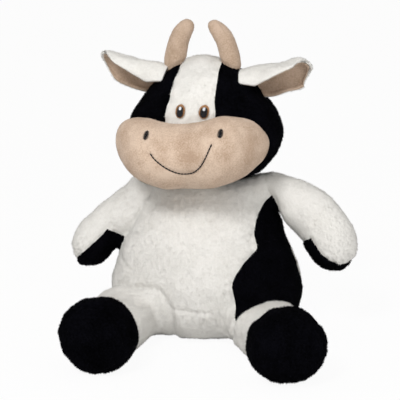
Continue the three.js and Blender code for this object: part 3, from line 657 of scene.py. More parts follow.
def satin_thread(name, deep, pale, gloss=0.5):
    """Satin thread: a fine twist across it, and a soft gloss."""
    return fabric(name, deep, pale, 0.5, 0.3, 0.1, 0.5, gloss)


WHITE = fabric("white_pile", (0.80, 0.785, 0.745), (0.875, 0.86, 0.825), 1.8, 0.2, 0.1)
BLACK = fabric(
    "black_pile", (0.0005, 0.0005, 0.0008), (0.0025, 0.0025, 0.004), 1.8, 0.3, 0, 1, 0.02
)
TAN = fabric("tan_velour", (0.5, 0.355, 0.255), (0.71, 0.555, 0.435), 1.3, 0.4, 0.12)
HORN_TAN = fabric("horn_velour", (0.43, 0.31, 0.22), (0.6, 0.455, 0.35), 1.3, 0.4, 0.1)
BLACK_THREAD = satin_thread(
    "black_thread", (0.002, 0.002, 0.003), (0.007, 0.007, 0.01), 0.12
)
GREY_THREAD = satin_thread(
    "grey_thread", (0.003, 0.003, 0.005), (0.012, 0.012, 0.016), 0.2
)
AMBER_THREAD = satin_thread("amber_thread", (0.2, 0.085, 0.025), (0.42, 0.2, 0.07))
WHITE_THREAD = satin_thread("white_thread", (0.75, 0.8, 0.86), (0.9, 0.93, 0.97))
ZIP_TAPE = fabric("zip_tape", (0.66, 0.64, 0.59), (0.78, 0.76, 0.71), 0.8, 0.5, 0.05, 0.8)
ZIP_PLASTIC = fabric("zip_plastic", (0.8, 0.79, 0.75), (0.88, 0.87, 0.84), 3, 0.05, 0, 0.4)


# Torso: height, width and depth shares of each ring, from the seat to the neck.
TORSO_SHARES = [
    (0.001, 0.66, 0.66),
    (0.05, 0.84, 0.85),
    (0.16, 0.96, 0.97),
    (0.27, 1.0, 1.0),
    (0.37, 0.97, 0.985),
    (0.47, 0.915, 0.94),
    (0.6, 0.83, 0.86),
    (0.72, 0.755, 0.77),
    (0.845, 0.655, 0.65),
    (0.93, 0.6, 0.53),
    (0.98, 0.46, 0.4),
]


def torso_form():
    def level(high, wide, deep):
        forward = -BELLY_FORWARD * math.sin(math.pi * min(1, max(0, high)))
        return [0, forward, high * TORSO_HEIGHT, wide * TORSO_WIDTH / 2, deep * TORSO_DEPTH / 2]

    ends = level(-REST_CUT / TORSO_HEIGHT, 0, 0), level(1, 0, 0)
    rows = [ends[0], *(level(*row) for row in TORSO_SHARES), ends[1]]
    return Form(rows, TORSO_GRID, across=X_AXIS, up=Y_AXIS)


# Head: height and width shares of each ring, from the chin to the crown.
HEAD_SHARES = [
    (0.012, 0.42),
    (0.065, 0.68),
    (0.13, 0.81),
    (0.23, 0.935),
    (0.36, 1.0),
    (0.467, 0.975),
    (0.574, 0.9),
    (0.664, 0.805),
    (0.762, 0.69),
    (0.869, 0.52),
    (0.95, 0.31),
]
NECK = pivot("neck_turn")


def head_form():
    def level(high, wide):
        halves = wide * HEAD_WIDTH / 2, wide * HEAD_DEPTH / 2
        return [0, -HEAD_FORWARD, HEAD_RISE + high * HEAD_HEIGHT, *halves]

    rows = [level(0, 0), *(level(*row) for row in HEAD_SHARES), level(1, 0)]
    return Form(rows, HEAD_GRID, place=(NECK, np.eye(3)), across=X_AXIS, up=Y_AXIS)


# Muzzle: place along its half width, then shares of rise, of droop on the cow's left, of half height, of
# forward place and of half depth.
MUZZLE_SHARES = [
    (0, -0.06, 0, 0.95, 1.0, 0.95),
    (0.27, -0.02, 0, 0.965, 1.03, 1.0),
    (0.5, 0.12, 0, 0.93, 1.03, 0.96),
    (0.71, 0.195, 0.035, 0.8, 0.96, 0.8),
    (0.86, 0.25, 0.08, 0.58, 0.84, 0.62),
    (0.95, 0.265, 0.11, 0.33, 0.73, 0.38),
    (1, 0.265, 0.115, 0, 0.66, 0),
]
MUZZLE_PLACE = (NECK + (MUZZLE_ASIDE, 0, MUZZLE_RISE), turned(Y_AXIS, -MUZZLE_TILT))


def muzzle_spot(x, z):
    """Where a place in the muzzle's own front view is in the front view of the whole."""
    origin, matrix = MUZZLE_PLACE
    found = origin + matrix @ np.array([x, 0, z - MUZZLE_RISE])
    return found[[0, 2]]


def muzzle_form():
    def level(side, out, rise, droop, high, forward, deep):
        return [
            side * out * MUZZLE_WIDTH / 2,
            -forward * MUZZLE_FORWARD,
            (rise - side * droop) * MUZZLE_HEIGHT / 2,
            deep * MUZZLE_DEPTH / 2,
            high * MUZZLE_HEIGHT / 2,
        ]

    right = [level(-1, *row) for row in reversed(MUZZLE_SHARES)]
    left = [level(1, *row) for row in MUZZLE_SHARES[1:]]
    return Form(right + left, MUZZLE_GRID, place=MUZZLE_PLACE, across=Y_AXIS, up=Z_AXIS)


# Arms: shares of reach, of drop, of forward lean and of half thickness, from the shoulder to the tip.
LEFT_ARM_SHARES = [
    (-0.21, -0.137, 0, 0),
    (-0.04, -0.2, 0, 0.5),
    (0.05, -0.235, 0, 0.58),
    (0.156, -0.184, 0.03, 0.68),
    (0.298, -0.04, 0.12, 0.84),
    (0.45, 0.13, 0.3, 0.97),
    (0.54, 0.27, 0.45, 1.0),
    (0.61, 0.41, 0.6, 1.03),
    (0.69, 0.61, 0.8, 1.0),
    (0.739, 0.77, 0.92, 0.85),
    (0.772, 0.88, 0.98, 0.57),
    (0.795, 0.965, 1, 0),
]
RIGHT_ARM_SHARES = [
    (-0.25, 0.1, 0, 0),
    (-0.06, 0.117, 0, 1.18),
    (0.106, 0.209, 0.05, 1.07),
    (0.25, 0.311, 0.2, 0.99),
    (0.38, 0.413, 0.35, 0.92),
    (0.48, 0.524, 0.5, 0.88),
    (0.556, 0.61, 0.65, 0.87),
    (0.636, 0.766, 0.8, 0.85),
    (0.7, 0.87, 0.9, 0.76),
    (0.76, 0.97, 0.98, 0.5),
    (0.8, 1.05, 1, 0),
]
ARM_SHARES = {1: LEFT_ARM_SHARES, -1: RIGHT_ARM_SHARES}
ARM_RAISES = {1: LEFT_ARM_RAISE, -1: RIGHT_ARM_RAISE}
SIDES = {1: "left", -1: "right"}


def arm_form(side):
    half = ARM_THICKNESS / 2
    rows = [
        [side * out * ARM_REACH, -forward * ARM_FORWARD, -down * ARM_DROP, thick * half, thick * half]
        for out, down, forward, thick in ARM_SHARES[side]
    ]
    place = pivot(SIDES[side] + "_arm_lift"), turned(Y_AXIS, -side * ARM_RAISES[side])
    return Form(rows, ARM_GRID, place=place), place


# Leg: shares of length, then half widths and half heights in shares of the thigh, as far as the ankle.
LEG_SHARES = [
    (0, 1.1, 1.0),
    (0.14, 1.07, 1.0),
    (0.3, 0.99, 0.99),
    (0.46, 0.9, 0.98),
    (0.575, 0.86, 0.98),
]
THIGH_FULLNESS = 0.8
LEG_ROOT_SHARE = 0.1

# Foot: shares of the leg's length, half width and half height in shares of the foot, and its rise.
FOOT_SHARES = [
    (0.63, 0.86, 0.84, 0.5),
    (0.7, 0.97, 0.97, 0.85),
    (0.78, 1.0, 1.0, 1.0),
    (0.87, 0.97, 0.99, 1.0),
    (0.94, 0.8, 0.82, 1.0),
    (0.98, 0.5, 0.52, 1.0),
    (1, 0, 0, 1),
]
ANKLE_SHARE = 0.605
SOLE_SHARE = 0.905


def leg_form(side):
    name = SIDES[side] + "_leg_lift"
    hip, axis = pivot(name), joint(name)["axis"]
    splay = math.degrees(math.atan2(-axis[1], -axis[0]))
    rise = FOOT_HEIGHT / 2 - REST_CUT - hip[2]
    rows = [[0, LEG_LENGTH * LEG_ROOT_SHARE, 0, 0, 0, THIGH_FULLNESS]]
    for far, wide, high in LEG_SHARES:
        halves = high * THIGH_THICKNESS / 2, wide * THIGH_WIDTH / 2
        rows.append([0, -far * LEG_LENGTH, 0, *halves, THIGH_FULLNESS])
    for far, wide, high, lift in FOOT_SHARES:
        halves = high * FOOT_HEIGHT / 2, wide * FOOT_WIDTH / 2
        rows.append([0, -far * LEG_LENGTH, rise * lift, *halves, 1])
    place = hip, turned(Z_AXIS, splay)
    return Form(rows, LEG_GRID, place=place, across=Z_AXIS, up=X_AXIS), place


# Horns: rise and inward lean shares, and half thickness shares, from inside the head to the tip.
HORN_SHARES = [
    (-0.45, 0, 0),
    (-0.36, 0, 1.0),
    (0, 0, 1.0),
    (0.3, 0.05, 0.97),
    (0.6, 0.24, 0.88),
    (0.78, 0.5, 0.77),
    (0.89, 0.73, 0.63),
    (0.95, 0.87, 0.42),
    (0.98, 0.93, 0),
]


def horn_form(side):
    base = HEAD_RISE + HEAD_HEIGHT - HORN_SINK
    inwards = LEFT_HORN_LEAN if side > 0 else RIGHT_HORN_LEAN
    rows = []
    for high, lean, thick in HORN_SHARES:
        out = side * (HORN_SPACING / 2 - lean * inwards) + HORN_ASIDE
        half = thick * HORN_THICKNESS / 2
        rows.append([out, -HEAD_FORWARD, base + high * HORN_HEIGHT, half, half])
    return Form(rows, HORN_GRID, place=(NECK, np.eye(3)))


# Signed distances to seams, in millimetres.
def outline_distance(points, outline):
    """How far points of a plane lie outside a closed outline; negative inside."""
    found = np.empty(len(points))
    starts, ends = outline, np.roll(outline, -1, axis=0)
    spans = ends - starts
    for start in range(0, len(points), CHUNK):
        some = points[start : start + CHUNK][:, None, :]
        offset = some - starts[None]
        along = np.clip((offset * spans).sum(2) / np.maximum((spans**2).sum(1), 1e-9), 0, 1)
        distance = np.linalg.norm(offset - along[:, :, None] * spans[None], axis=2).min(axis=1)
        crosses = (starts[:, 1] > some[:, :, 1]) != (ends[:, 1] > some[:, :, 1])
        rise = np.where(spans[:, 1] == 0, 1e-9, spans[:, 1])
        meets = some[:, :, 0] < starts[:, 0] + (some[:, :, 1] - starts[:, 1]) * spans[:, 0] / rise
        inside = (crosses & meets).sum(axis=1) % 2 == 1
        found[start : start + CHUNK] = np.where(inside, -distance, distance)
    return found


# Flank patch: front-view outline in shares of half the torso's width and of its height.
PATCH_SHARES = [
    (0.72, 0.92),
    (0.65, 0.88),
    (0.61, 0.83),
    (0.59, 0.78),
    (0.6, 0.69),
    (0.63, 0.62),
    (0.53, 0.54),
    (0.46, 0.47),
    (0.43, 0.41),
    (0.46, 0.33),
    (0.49, 0.22),
    (0.46, 0.1),
    (0.43, 0.03),
    (0.41, -0.1),
]
FAR_SHARE = 1.4


def patch_distance(points):
    shares = [PATCH_SHARES[0], *PATCH_SHARES, PATCH_SHARES[-1]]
    smooth = curve(np.array(shares) + np.linspace(0, 1e-4, len(shares))[:, None], 70)
    closing = np.array([(FAR_SHARE, PATCH_SHARES[-1][1]), (FAR_SHARE, PATCH_SHARES[0][1])])
    outline = np.concatenate([smooth, closing]) * (TORSO_WIDTH / 2, TORSO_HEIGHT)
    found = np.full(len(points), FAR_AWAY)
    asked = (points[:, 0] > 0) & (points[:, 1] < SIDE_SEAM_BACK + 1)
    found[asked] = outline_distance(points[asked][:, [0, 2]], outline)
    return found


def side_distance(points):
    return points[:, 1] - SIDE_SEAM_BACK


# Blaze: half-width shares at heights in shares of the head.
BLAZE_SHARES = [(-0.1, 1.15), (0.5, 1.15), (0.62, 1.1), (0.7, 1.0), (0.84, 0.98), (1.1, 0.86)]


def blaze_distance(points):
    heights = (points[:, 2] - NECK[2] - HEAD_RISE) / HEAD_HEIGHT
    halves = np.interp(heights, *zip(*BLAZE_SHARES)) * BLAZE_WIDTH / 2
    return np.abs(points[:, 0] - BLAZE_ASIDE) - halves


# Palm panels on the arms' undersides: front-view outlines in shares of reach and drop.
LEFT_PALM_SHARES = [
    (0.1, -0.72),
    (0.3, -0.575),
    (0.39, -0.49),
    (0.475, -0.44),
    (0.53, -0.54),
    (0.59, -0.67),
    (0.69, -0.78),
    (0.8, -0.85),
    (0.92, -0.83),
    (1.2, -0.7),
    (1.2, -1.6),
    (0.1, -1.6),
]
RIGHT_PALM_SHARES = [
    (0.1, -0.623),
    (0.25, -0.543),
    (0.326, -0.483),
    (0.381, -0.439),
    (0.443, -0.543),
    (0.589, -0.711),
    (0.754, -0.886),
    (0.899, -1.03),
    (1.069, -1.2),
    (1.2, -1.4),
    (1.2, -2),
    (0.1, -2),
]


def local(points, place):
    """Points in the frame of a limb."""
    origin, matrix = place
    return (points - origin) @ matrix


def palm_distance(points, place, side):
    shares = LEFT_PALM_SHARES if side > 0 else RIGHT_PALM_SHARES
    outline = np.array(shares) * (side * ARM_REACH, ARM_DROP)
    return outline_distance(local(points, place)[:, [0, 2]], outline)


def joint_crease(gap, points):
    """The fold at the seam of a limb, shallower on the shoulders."""
    depth = np.interp(points[:, 2], (ARMPIT_RISE, SHOULDER_TOP), (JOINT_GROOVE, SHOULDER_GROOVE))
    return crease(gap, depth, JOINT_GROOVE_WIDTH)


# Folds of the cover in the front view: both ends, depth and width.
FOLDS = [
    ((-18, 37), (26, 35), 1.1, 2.4),
    ((13, 47), (15, 18), 0.8, 2.2),
    ((-48, 143), (-80, 113), 1.3, 2.6),
    ((-90, 76), (-62, 66), 1.0, 2.6),
    ((94, 62), (74, 54), 1.2, 2.6),
    ((62, 150), (78, 128), 1.1, 3.0),
]

# Where the cover is fuller or flatter in the front view: place, reach and height.
SWELLS = [
    ((80, 116), (14, 17), 3.8),
    ((82, 163), (16, 12), -2.8),
]


def swollen(points):
    """How far the swells push the cover out."""
    flat = points[:, [0, 2]]
    return sum(
        height * np.exp(-(((flat - place) / reach) ** 2).sum(axis=1))
        for place, reach, height in SWELLS
    )


def wrinkled(points):
    """How far the folds draw the front of the cover in."""
    flat = points[:, [0, 2]]
    drawn = np.zeros(len(points))
    for start, end, depth, width in FOLDS:
        span = np.array(end) - start
        share = ((flat - start) @ span / (span @ span)).clip(0, 1)
        aside = np.linalg.norm(flat - start - share[:, None] * span, axis=1)
        drawn += crease(aside, depth * np.sqrt(1 - (2 * share - 1) ** 2), width)
    return np.where(points[:, 1] < 0, drawn, 0)


# The covers: the room that pile takes, the depths and widths of creases, where limbs run into the
# torso, and how far the roots of pieces reach into their neighbours.
PILE_ROOM = 1.4
MUZZLE_PILE_ROOM = 0.4
NOD_CREASE = 1.8, 9
HEAD_CREASE = 2.0, 5
MUZZLE_CREASE = 2.2, 5
HORN_CREASE = 1.2, 3
SMILE_CREASE = 0.9, 1.9
SMILE_DIMPLE = 1.5, 3.4
SLOT_CREASE = 4.5, 1.6
PATCH_GROOVE = 1.0
JOINT_GROOVE = 2.4
JOINT_GROOVE_WIDTH = 3.4
SHOULDER_GROOVE = 0.7
BODY_VOXEL = 2.6
ARMPIT_RISE = 120
ARMPIT_BLEND = 8
SHOULDER_TOP = 150
SHOULDER_BLEND = 34
ARMHOLE_END = 92
FAR_OUT = 200
LEG_TOP = 75
LEG_PRESS_TOP = 85
LEG_CLEAR = 60
LEG_SEAM_SHIFTS = {1: ((40, 62, 74), (22, 16, 4)), -1: ((30, 62), (-14, -3))}
ARM_BEND = 0, 66
LEG_BEND = 35, 70
MUZZLE_ROOT = 8
HORN_ROOT = 6
TAIL_ROOT = 6

# Pile: the length of its tufts and their spacing.
PLUSH_PILE = 2.0, 1.25
VELOUR_PILE = 0.8, 0.95
EAR_PILE = 1.7, 1.1
TAIL_PILE = 1.8, 1.0
TUFT_PILE = 6, 0.9
DOWNWARDS = 0, 0, -1

# The seams between the torso and the arms, in the front view, and the gap between them below.
ARMHOLES = {
    1: [(50, 180), (58, 160), (70, 135), (78, 118), (85, 100), (93, 82), (99, 60), (103, -10)],
    -1: [(40, 180), (54, 135), (68, 112), (80, 91), (87, 80), (93, 66), (100, 50), (104, -10)],
}


def dressed(pieces, owner, nodes, fill=None, bend=None, root="torso"):
    """Attaches the pieces to the body that they ride on, or leaves them unattached where a bend is given,
    and hides the solids that they stand for. The fill and the root are not used.
    """
    for each in pieces:
        if bend is None:
            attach(each, owner)
        else:
            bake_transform(each)
    if nodes:
        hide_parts(*nodes)


def add_cover(names, bm, number, material, tufts, seed, comb, *ties):
    """One panel of a cover and its pile. The ties are what dressed asks for."""
    cover = panel(names[0], bm, number, material)
    fluff = pile(cover, names[1], material, *tufts, seed, comb)
    dressed((cover, fluff), *ties)


def add_panels(bm, panels, seed, fill):
    """Splits a cover into its marked panels. Each is a name, a region, a material, a body, the solids
    that it stands for and, where it turns at a joint, two places along it."""
    for i, (name, _, material, owner, nodes, *bend) in enumerate(panels):
        tufts = VELOUR_PILE if material in (TAN, HORN_TAN) else PLUSH_PILE
        names = name, name + "_pile"
        add_cover(names, bm, i + 1, material, tufts, seed + i, DOWNWARDS, owner, nodes, fill, *bend)


def each_side(make):
    return {side: make(side) for side in SIDES}


def flattened(bm):
    """Nothing reaches below the floor, and what rests on it is flat."""
    for vertex in bm.verts:
        vertex.co.z = max(vertex.co.z, COVER_FLOOR)


torso = torso_form()
head = head_form()
muzzle = muzzle_form()
arms = each_side(arm_form)
legs = each_side(leg_form)


def blend_width(points):
    """How far from a seam the limbs and the torso run into one another: most on top of the shoulders."""
    return np.interp(points[:, 2], (ARMPIT_RISE, SHOULDER_TOP), (ARMPIT_BLEND, SHOULDER_BLEND))


def arm_distance(points, side):
    """How far points are from an arm in the front view; negative in it."""
    line = np.array(ARMHOLES[side])
    outline = np.concatenate([line, [(FAR_OUT, line[-1, 1]), (FAR_OUT, line[0, 1])]])
    found = outline_distance(points[:, [0, 2]] * (side, 1), outline)
    low = np.nonzero((points[:, 2] < LEG_PRESS_TOP) & (found < NEAR_REACH))[0]
    on_leg = legs[side][0].near(points[low])[0] < arms[side][0].near(points[low])[0]
    found[low[on_leg]] = FAR_AWAY
    return found


def leg_distance(points, side):
    """How far points of the body are from a leg's seam; negative on the leg."""
    found = np.full(len(points), FAR_AWAY)
    low = (points[:, 0] * side > 0) & (points[:, 2] < LEG_TOP) & (points[:, 1] < 0)
    some = points[low]
    shift = np.interp(np.abs(some[:, 0]), *LEG_SEAM_SHIFTS[side])
    found[low] = legs[side][0].near(some)[0] - torso.near(some)[0] + shift
    return found


def bend_at(form, place, reaches):
    """Two places along a limb, at the given reaches from its joint towards its middle."""
    way = unit(form.centre[len(form.centre) // 2] - place[0])
    return [place[0] + way * reach for reach in reaches]


def gated(gate, value):
    """A distance that is out of reach wherever the gate is shut."""

    def found(points):
        asked = gate(points)
        answer = np.full(len(points), FAR_AWAY)
        answer[asked] = value(points[asked])
        return answer

    return remembered(found)


def leg_ring(side, share):
    """The distance to a seam round a leg, at a share of its length; negative beyond it."""
    place = legs[side][1]
    reach = lambda p: -local(p, place)[:, 1]
    inside = lambda p: (np.abs(local(p, place)[:, 0]) < FOOT_WIDTH) & (reach(p) > LEG_CLEAR)
    return gated(inside, lambda p: share * LEG_LENGTH - reach(p))


def add_body():
    """The torso, arms and legs, as one stuffed cover that is then cut into its panels."""
    limbs = [arms[1][0], arms[-1][0], legs[1][0], legs[-1][0]]
    bm = joined_form([torso, *limbs], BODY_VOXEL, blend_width)
    armholes = each_side(lambda side: remembered(lambda p: arm_distance(p, side)))
    hips = each_side(lambda side: remembered(lambda p: leg_distance(p, side)))
    palms = each_side(lambda side: gated(
        lambda p: armholes[side](p) < 0,
        lambda p: palm_distance(p, arms[side][1], side),
    ))
    ankles = each_side(lambda side: leg_ring(side, ANKLE_SHARE))
    soles = each_side(lambda side: leg_ring(side, SOLE_SHARE))
    is_body = remembered(lambda p: np.min([armholes[side](p) for side in SIDES], axis=0) > 0)
    trunk = remembered(lambda p: is_body(p) & (np.min([hips[side](p) for side in SIDES], axis=0) > 0))
    side_seam = gated(is_body, side_distance)
    patch = gated(is_body, patch_distance)
    seams = [side_seam, patch, slot_distance]
    for pair in (armholes, hips, palms, ankles, soles):
        seams += pair.values()
    for seam in seams:
        cut_along(bm, seam)

    def limb_panels(side, label):
        arm = lambda p: armholes[side](p) <= 0
        palm = lambda p: palms[side](p) <= 0
        leg = lambda p: is_body(p) & (hips[side](p) <= 0)
        foot = lambda p: ankles[side](p) <= 0
        sole = lambda p: soles[side](p) <= 0
        elbow = bend_at(*arms[side], ARM_BEND)
        knee = bend_at(*legs[side], LEG_BEND)
        rows = [
            ("_arm", lambda p: arm(p) & ~palm(p), WHITE, "_arm", ["_arm_sleeve", "_arm_stuffing"], elbow),
            ("_arm_palm", lambda p: arm(p) & palm(p), BLACK, "_arm", ["_arm_palm"], elbow),
            ("_leg", lambda p: leg(p) & ~foot(p), WHITE, "_leg", ["_leg_sleeve", "_leg_stuffing"], knee),
            ("_foot", lambda p: foot(p) & ~sole(p), BLACK, "_leg", ["_foot"]),
            ("_sole", sole, BLACK, "_leg", ["_sole"]),
        ]
        for name, inside, material, owner, nodes, *bend in rows:
            nodes = [label + node for node in nodes]
            yield label + name + "_skin", inside, material, label + owner, nodes, *bend

    whole = lambda p: trunk(p) & (slot_distance(p) > 0)
    front = lambda p: whole(p) & (side_distance(p) < 0)
    white = lambda p: front(p) & (patch(p) > 0)
    black = lambda p: front(p) & (patch(p) <= 0)
    back = lambda p: whole(p) & (side_distance(p) >= 0)
    panels = [
        ("torso_front_cover", white, WHITE, "torso", ["torso_front", "torso_pod", "pellet_bag"]),
        ("flank_patch_cover", black, BLACK, "torso", ["flank_patch"]),
        ("torso_back_cover", back, WHITE, "torso", ["torso_back"]),
    ]
    for side, label in SIDES.items():
        panels += limb_panels(side, label)
    marked(bm, panels)

    def move(points):
        nearest = lambda gaps: np.min(np.abs(gaps), axis=0)
        middle = np.where((points[:, 1] > 0) & is_body(points), points[:, 0], FAR_AWAY)
        above = np.where(points[:, 2] > ARMHOLE_END, 0, FAR_AWAY)
        broad = [side_seam(points), middle]
        fine = [patch(points)]
        joints = []
        for side in SIDES:
            broad.append(ankles[side](points))
            fine += [palms[side](points), soles[side](points)]
            joints += [np.abs(armholes[side](points)) + above, hips[side](points)]
        quilted = np.minimum(
            sewn(nearest(broad), points, 11),
            sewn(nearest(fine), points, 12, PATCH_GROOVE),
        )
        lumps = relief(points, 21, np.where(is_body(points), TORSO_LUMPS, LIMB_LUMPS))
        uneven = lumps + wrinkled(points) + swollen(points)
        lips = crease(np.maximum(slot_distance(points), 0), *SLOT_CREASE)
        room = crease(head.outside(points), *NOD_CREASE)
        return quilted + uneven + joint_crease(nearest(joints), points) + lips + room - PILE_ROOM

    displaced(bm, move)
    flattened(bm)
    add_panels(bm, panels, seed=31, fill=0.8)
    return bm


def add_head():
    bm = head.mesh()
    cut_along(bm, blaze_distance)
    aside = lambda side: lambda p: (blaze_distance(p) >= 0) & (p[:, 0] * side > 0)
    blaze = lambda p: blaze_distance(p) < 0
    panels = [("head_blaze_cover", blaze, WHITE, "head", ["head_blaze", "head_stuffing"])]
    for side, label in SIDES.items():
        panels.append((f"head_{label}_cover", aside(side), BLACK, "head", ["head_side_" + label]))
    marked(bm, panels)

    def move(points):
        near = np.abs(blaze_distance(points))
        meets = crease(muzzle.outside(points), *HEAD_CREASE)
        meets = meets + crease(torso.outside(points), *NOD_CREASE)
        return sewn(near, points, 41, PATCH_GROOVE) + relief(points, 45, HEAD_LUMPS) + meets - PILE_ROOM

    displaced(bm, move)
    add_panels(bm, panels, seed=51, fill=0.9)
    return bm


def smile_points(count):
    """Evenly spaced points of the smile in the front view. Its two sides rise by different powers."""
    shares = np.linspace(0, 1, 80)
    right, left = (
        np.stack([sense * width * shares, height * shares**power], axis=1)
        for sense, (width, height, power) in zip((-1, 1), SMILE_SIDES)
    )
    line = np.concatenate([right[:0:-1], left]) + (SMILE_ASIDE, SMILE_RISE)
    reaches = np.concatenate([[0], np.cumsum(np.linalg.norm(np.diff(line, axis=0), axis=1))])
    places = np.linspace(0, reaches[-1], count)
    spots = np.stack([np.interp(places, reaches, each) for each in line.T], axis=1)
    return np.array([muzzle_spot(*spot) for spot in spots])


# How far the underside of the muzzle is drawn in, by how far aside it is.
CHIN_FLATNESS = (-75, -50, 25, 60), (4.6, 3.4, 2.8, 0)


def add_muzzle():
    bm = muzzle.mesh()

    def move(points):
        spans = np.linalg.norm(points[:, None, [0, 2]] - smile_points(60)[None], axis=2)
        faces = points[:, 1] < -MUZZLE_FORWARD
        reach = np.where(faces, spans.min(axis=1), FAR_AWAY)
        ends = np.where(faces, spans[:, [0, -1]].min(axis=1), FAR_AWAY)
        groove = crease(reach, *SMILE_CREASE) + crease(ends, *SMILE_DIMPLE)
        below = ((NECK[2] + MUZZLE_RISE - points[:, 2]) / (MUZZLE_HEIGHT / 2)).clip(0, 1)
        flat = below**2 * np.interp(points[:, 0], *CHIN_FLATNESS)
        meets = crease(head.outside(points), *MUZZLE_CREASE)
        return relief(points, 61, MUZZLE_LUMPS) + groove - flat + meets - MUZZLE_PILE_ROOM

    shown = lambda p: head.outside(p) > -MUZZLE_ROOT
    panels = [("muzzle_skin", shown, TAN, "head", ["muzzle_cover", "muzzle_stuffing"])]
    marked(bm, panels)
    displaced(bm, move)
    add_panels(bm, panels, seed=65, fill=0.9)
    return bm


def add_horn(side):
    bm = horn_form(side).mesh()
    name = "horn_" + SIDES[side]
    panels = [(name + "_skin", lambda p: head.outside(p) > -HORN_ROOT, HORN_TAN, "head", [name])]
    marked(bm, panels)
    displaced(bm, lambda p: relief(p, 111 + side, LIMB_LUMPS) + crease(head.outside(p), *HORN_CREASE))
    add_panels(bm, panels, seed=115, fill=0.8)
    bm.free()


def add_neck():
    turns = np.linspace(0, math.pi, 12)
    rows = [[0, 0, -NECK_RADIUS * math.cos(t)] + [NECK_RADIUS * math.sin(t)] * 2 for t in turns]
    bm = Form(rows, NECK_GRID, place=(NECK, np.eye(3)), across=X_AXIS, up=Y_AXIS).mesh()
    dressed((panel("neck_skin", bm, 0, WHITE),), "neck", ["neck_plug"], fill=0.95)
    bm.free()


def sheet_mesh(outer, inner, columns):
    """A closed sheet between two grids of points, as a bmesh."""
    bm = bmesh.new()
    layers = [[bm.verts.new(place) for place in layer] for layer in (outer, inner)]
    last = len(outer) - columns
    for i in range(0, last, columns):
        for j in range(i, i + columns - 1):
            corners = j, j + 1, j + 1 + columns, j + columns
            bm.faces.new([layers[0][k] for k in corners])
            bm.faces.new([layers[1][k] for k in reversed(corners)])
    edges = (0, 1), (columns - 1, -1)
    rims = [(i + j, columns, sense) for i in range(0, last, columns) for j, sense in edges]
    rims += [(i + j, 1, sense) for j in range(columns - 1) for i, sense in ((0, -1), (last, 1))]
    for k, step, sense in rims:
        wall = [layers[0][k], layers[0][k + step], layers[1][k + step], layers[1][k]]
        bm.faces.new(wall[::sense])
    bmesh.ops.remove_doubles(bm, verts=bm.verts, dist=DOUBLE_GAP)
    bmesh.ops.recalc_face_normals(bm, faces=bm.faces)
    return bm


# Ears: shares of length, of the cup's radius, and of the half turn that each edge is rolled through.
EAR_SHARES = [
    (-0.14, 0.83, 0.62, 0.6),
    (0.0, 0.86, 0.62, 0.64),
    (0.1, 0.88, 0.62, 0.66),
    (0.2, 0.9, 0.62, 0.62),
    (0.34, 0.93, 0.6, 0.57),
    (0.52, 0.95, 0.56, 0.5),
    (0.7, 1.0, 0.5, 0.43),
    (0.84, 0.98, 0.43, 0.35),
    (0.94, 0.95, 0.35, 0.27),
    (1.0, 0.9, 0.22, 0.16),
]
EAR_ROWS = 70
EAR_COLUMNS = 90
EAR_CORNER = 7
EAR_CURL_START = 46
EAR_CURLS = {1: 1.05, -1: 0.4}
EAR_RISE = 2.5
EAR_RIM = 2.2
EAR_LIP = 0.8
EAR_LIP_PLACE = 2.4
EAR_LIP_WIDTH = 2.2
EAR_BEND = 2, 16
TURN_SCALE = 40
DOUBLE_GAP = 0.02

# The layers of an ear: where each starts and ends in depth, how far its sides and its end stand back,
# how thick its lip is, its material and its pile.
EAR_LAYERS = [
    ("outer", (0.6, EAR_WALL + 0.6, 1.0, 0.6, 0), WHITE, EAR_PILE),
    ("lining", (EAR_WALL, EAR_WALL * 2, 0.6, 3.2, EAR_LIP), HORN_TAN, VELOUR_PILE),
]


def ear_place(side):
    tilt = -side * (LEFT_EAR_TILT if side > 0 else RIGHT_EAR_TILT)
    place = pivot(SIDES[side] + "_ear_flap") + EAR_RISE * Z_AXIS
    return place, turned(Y_AXIS, tilt) @ turned(X_AXIS, EAR_ROLL)


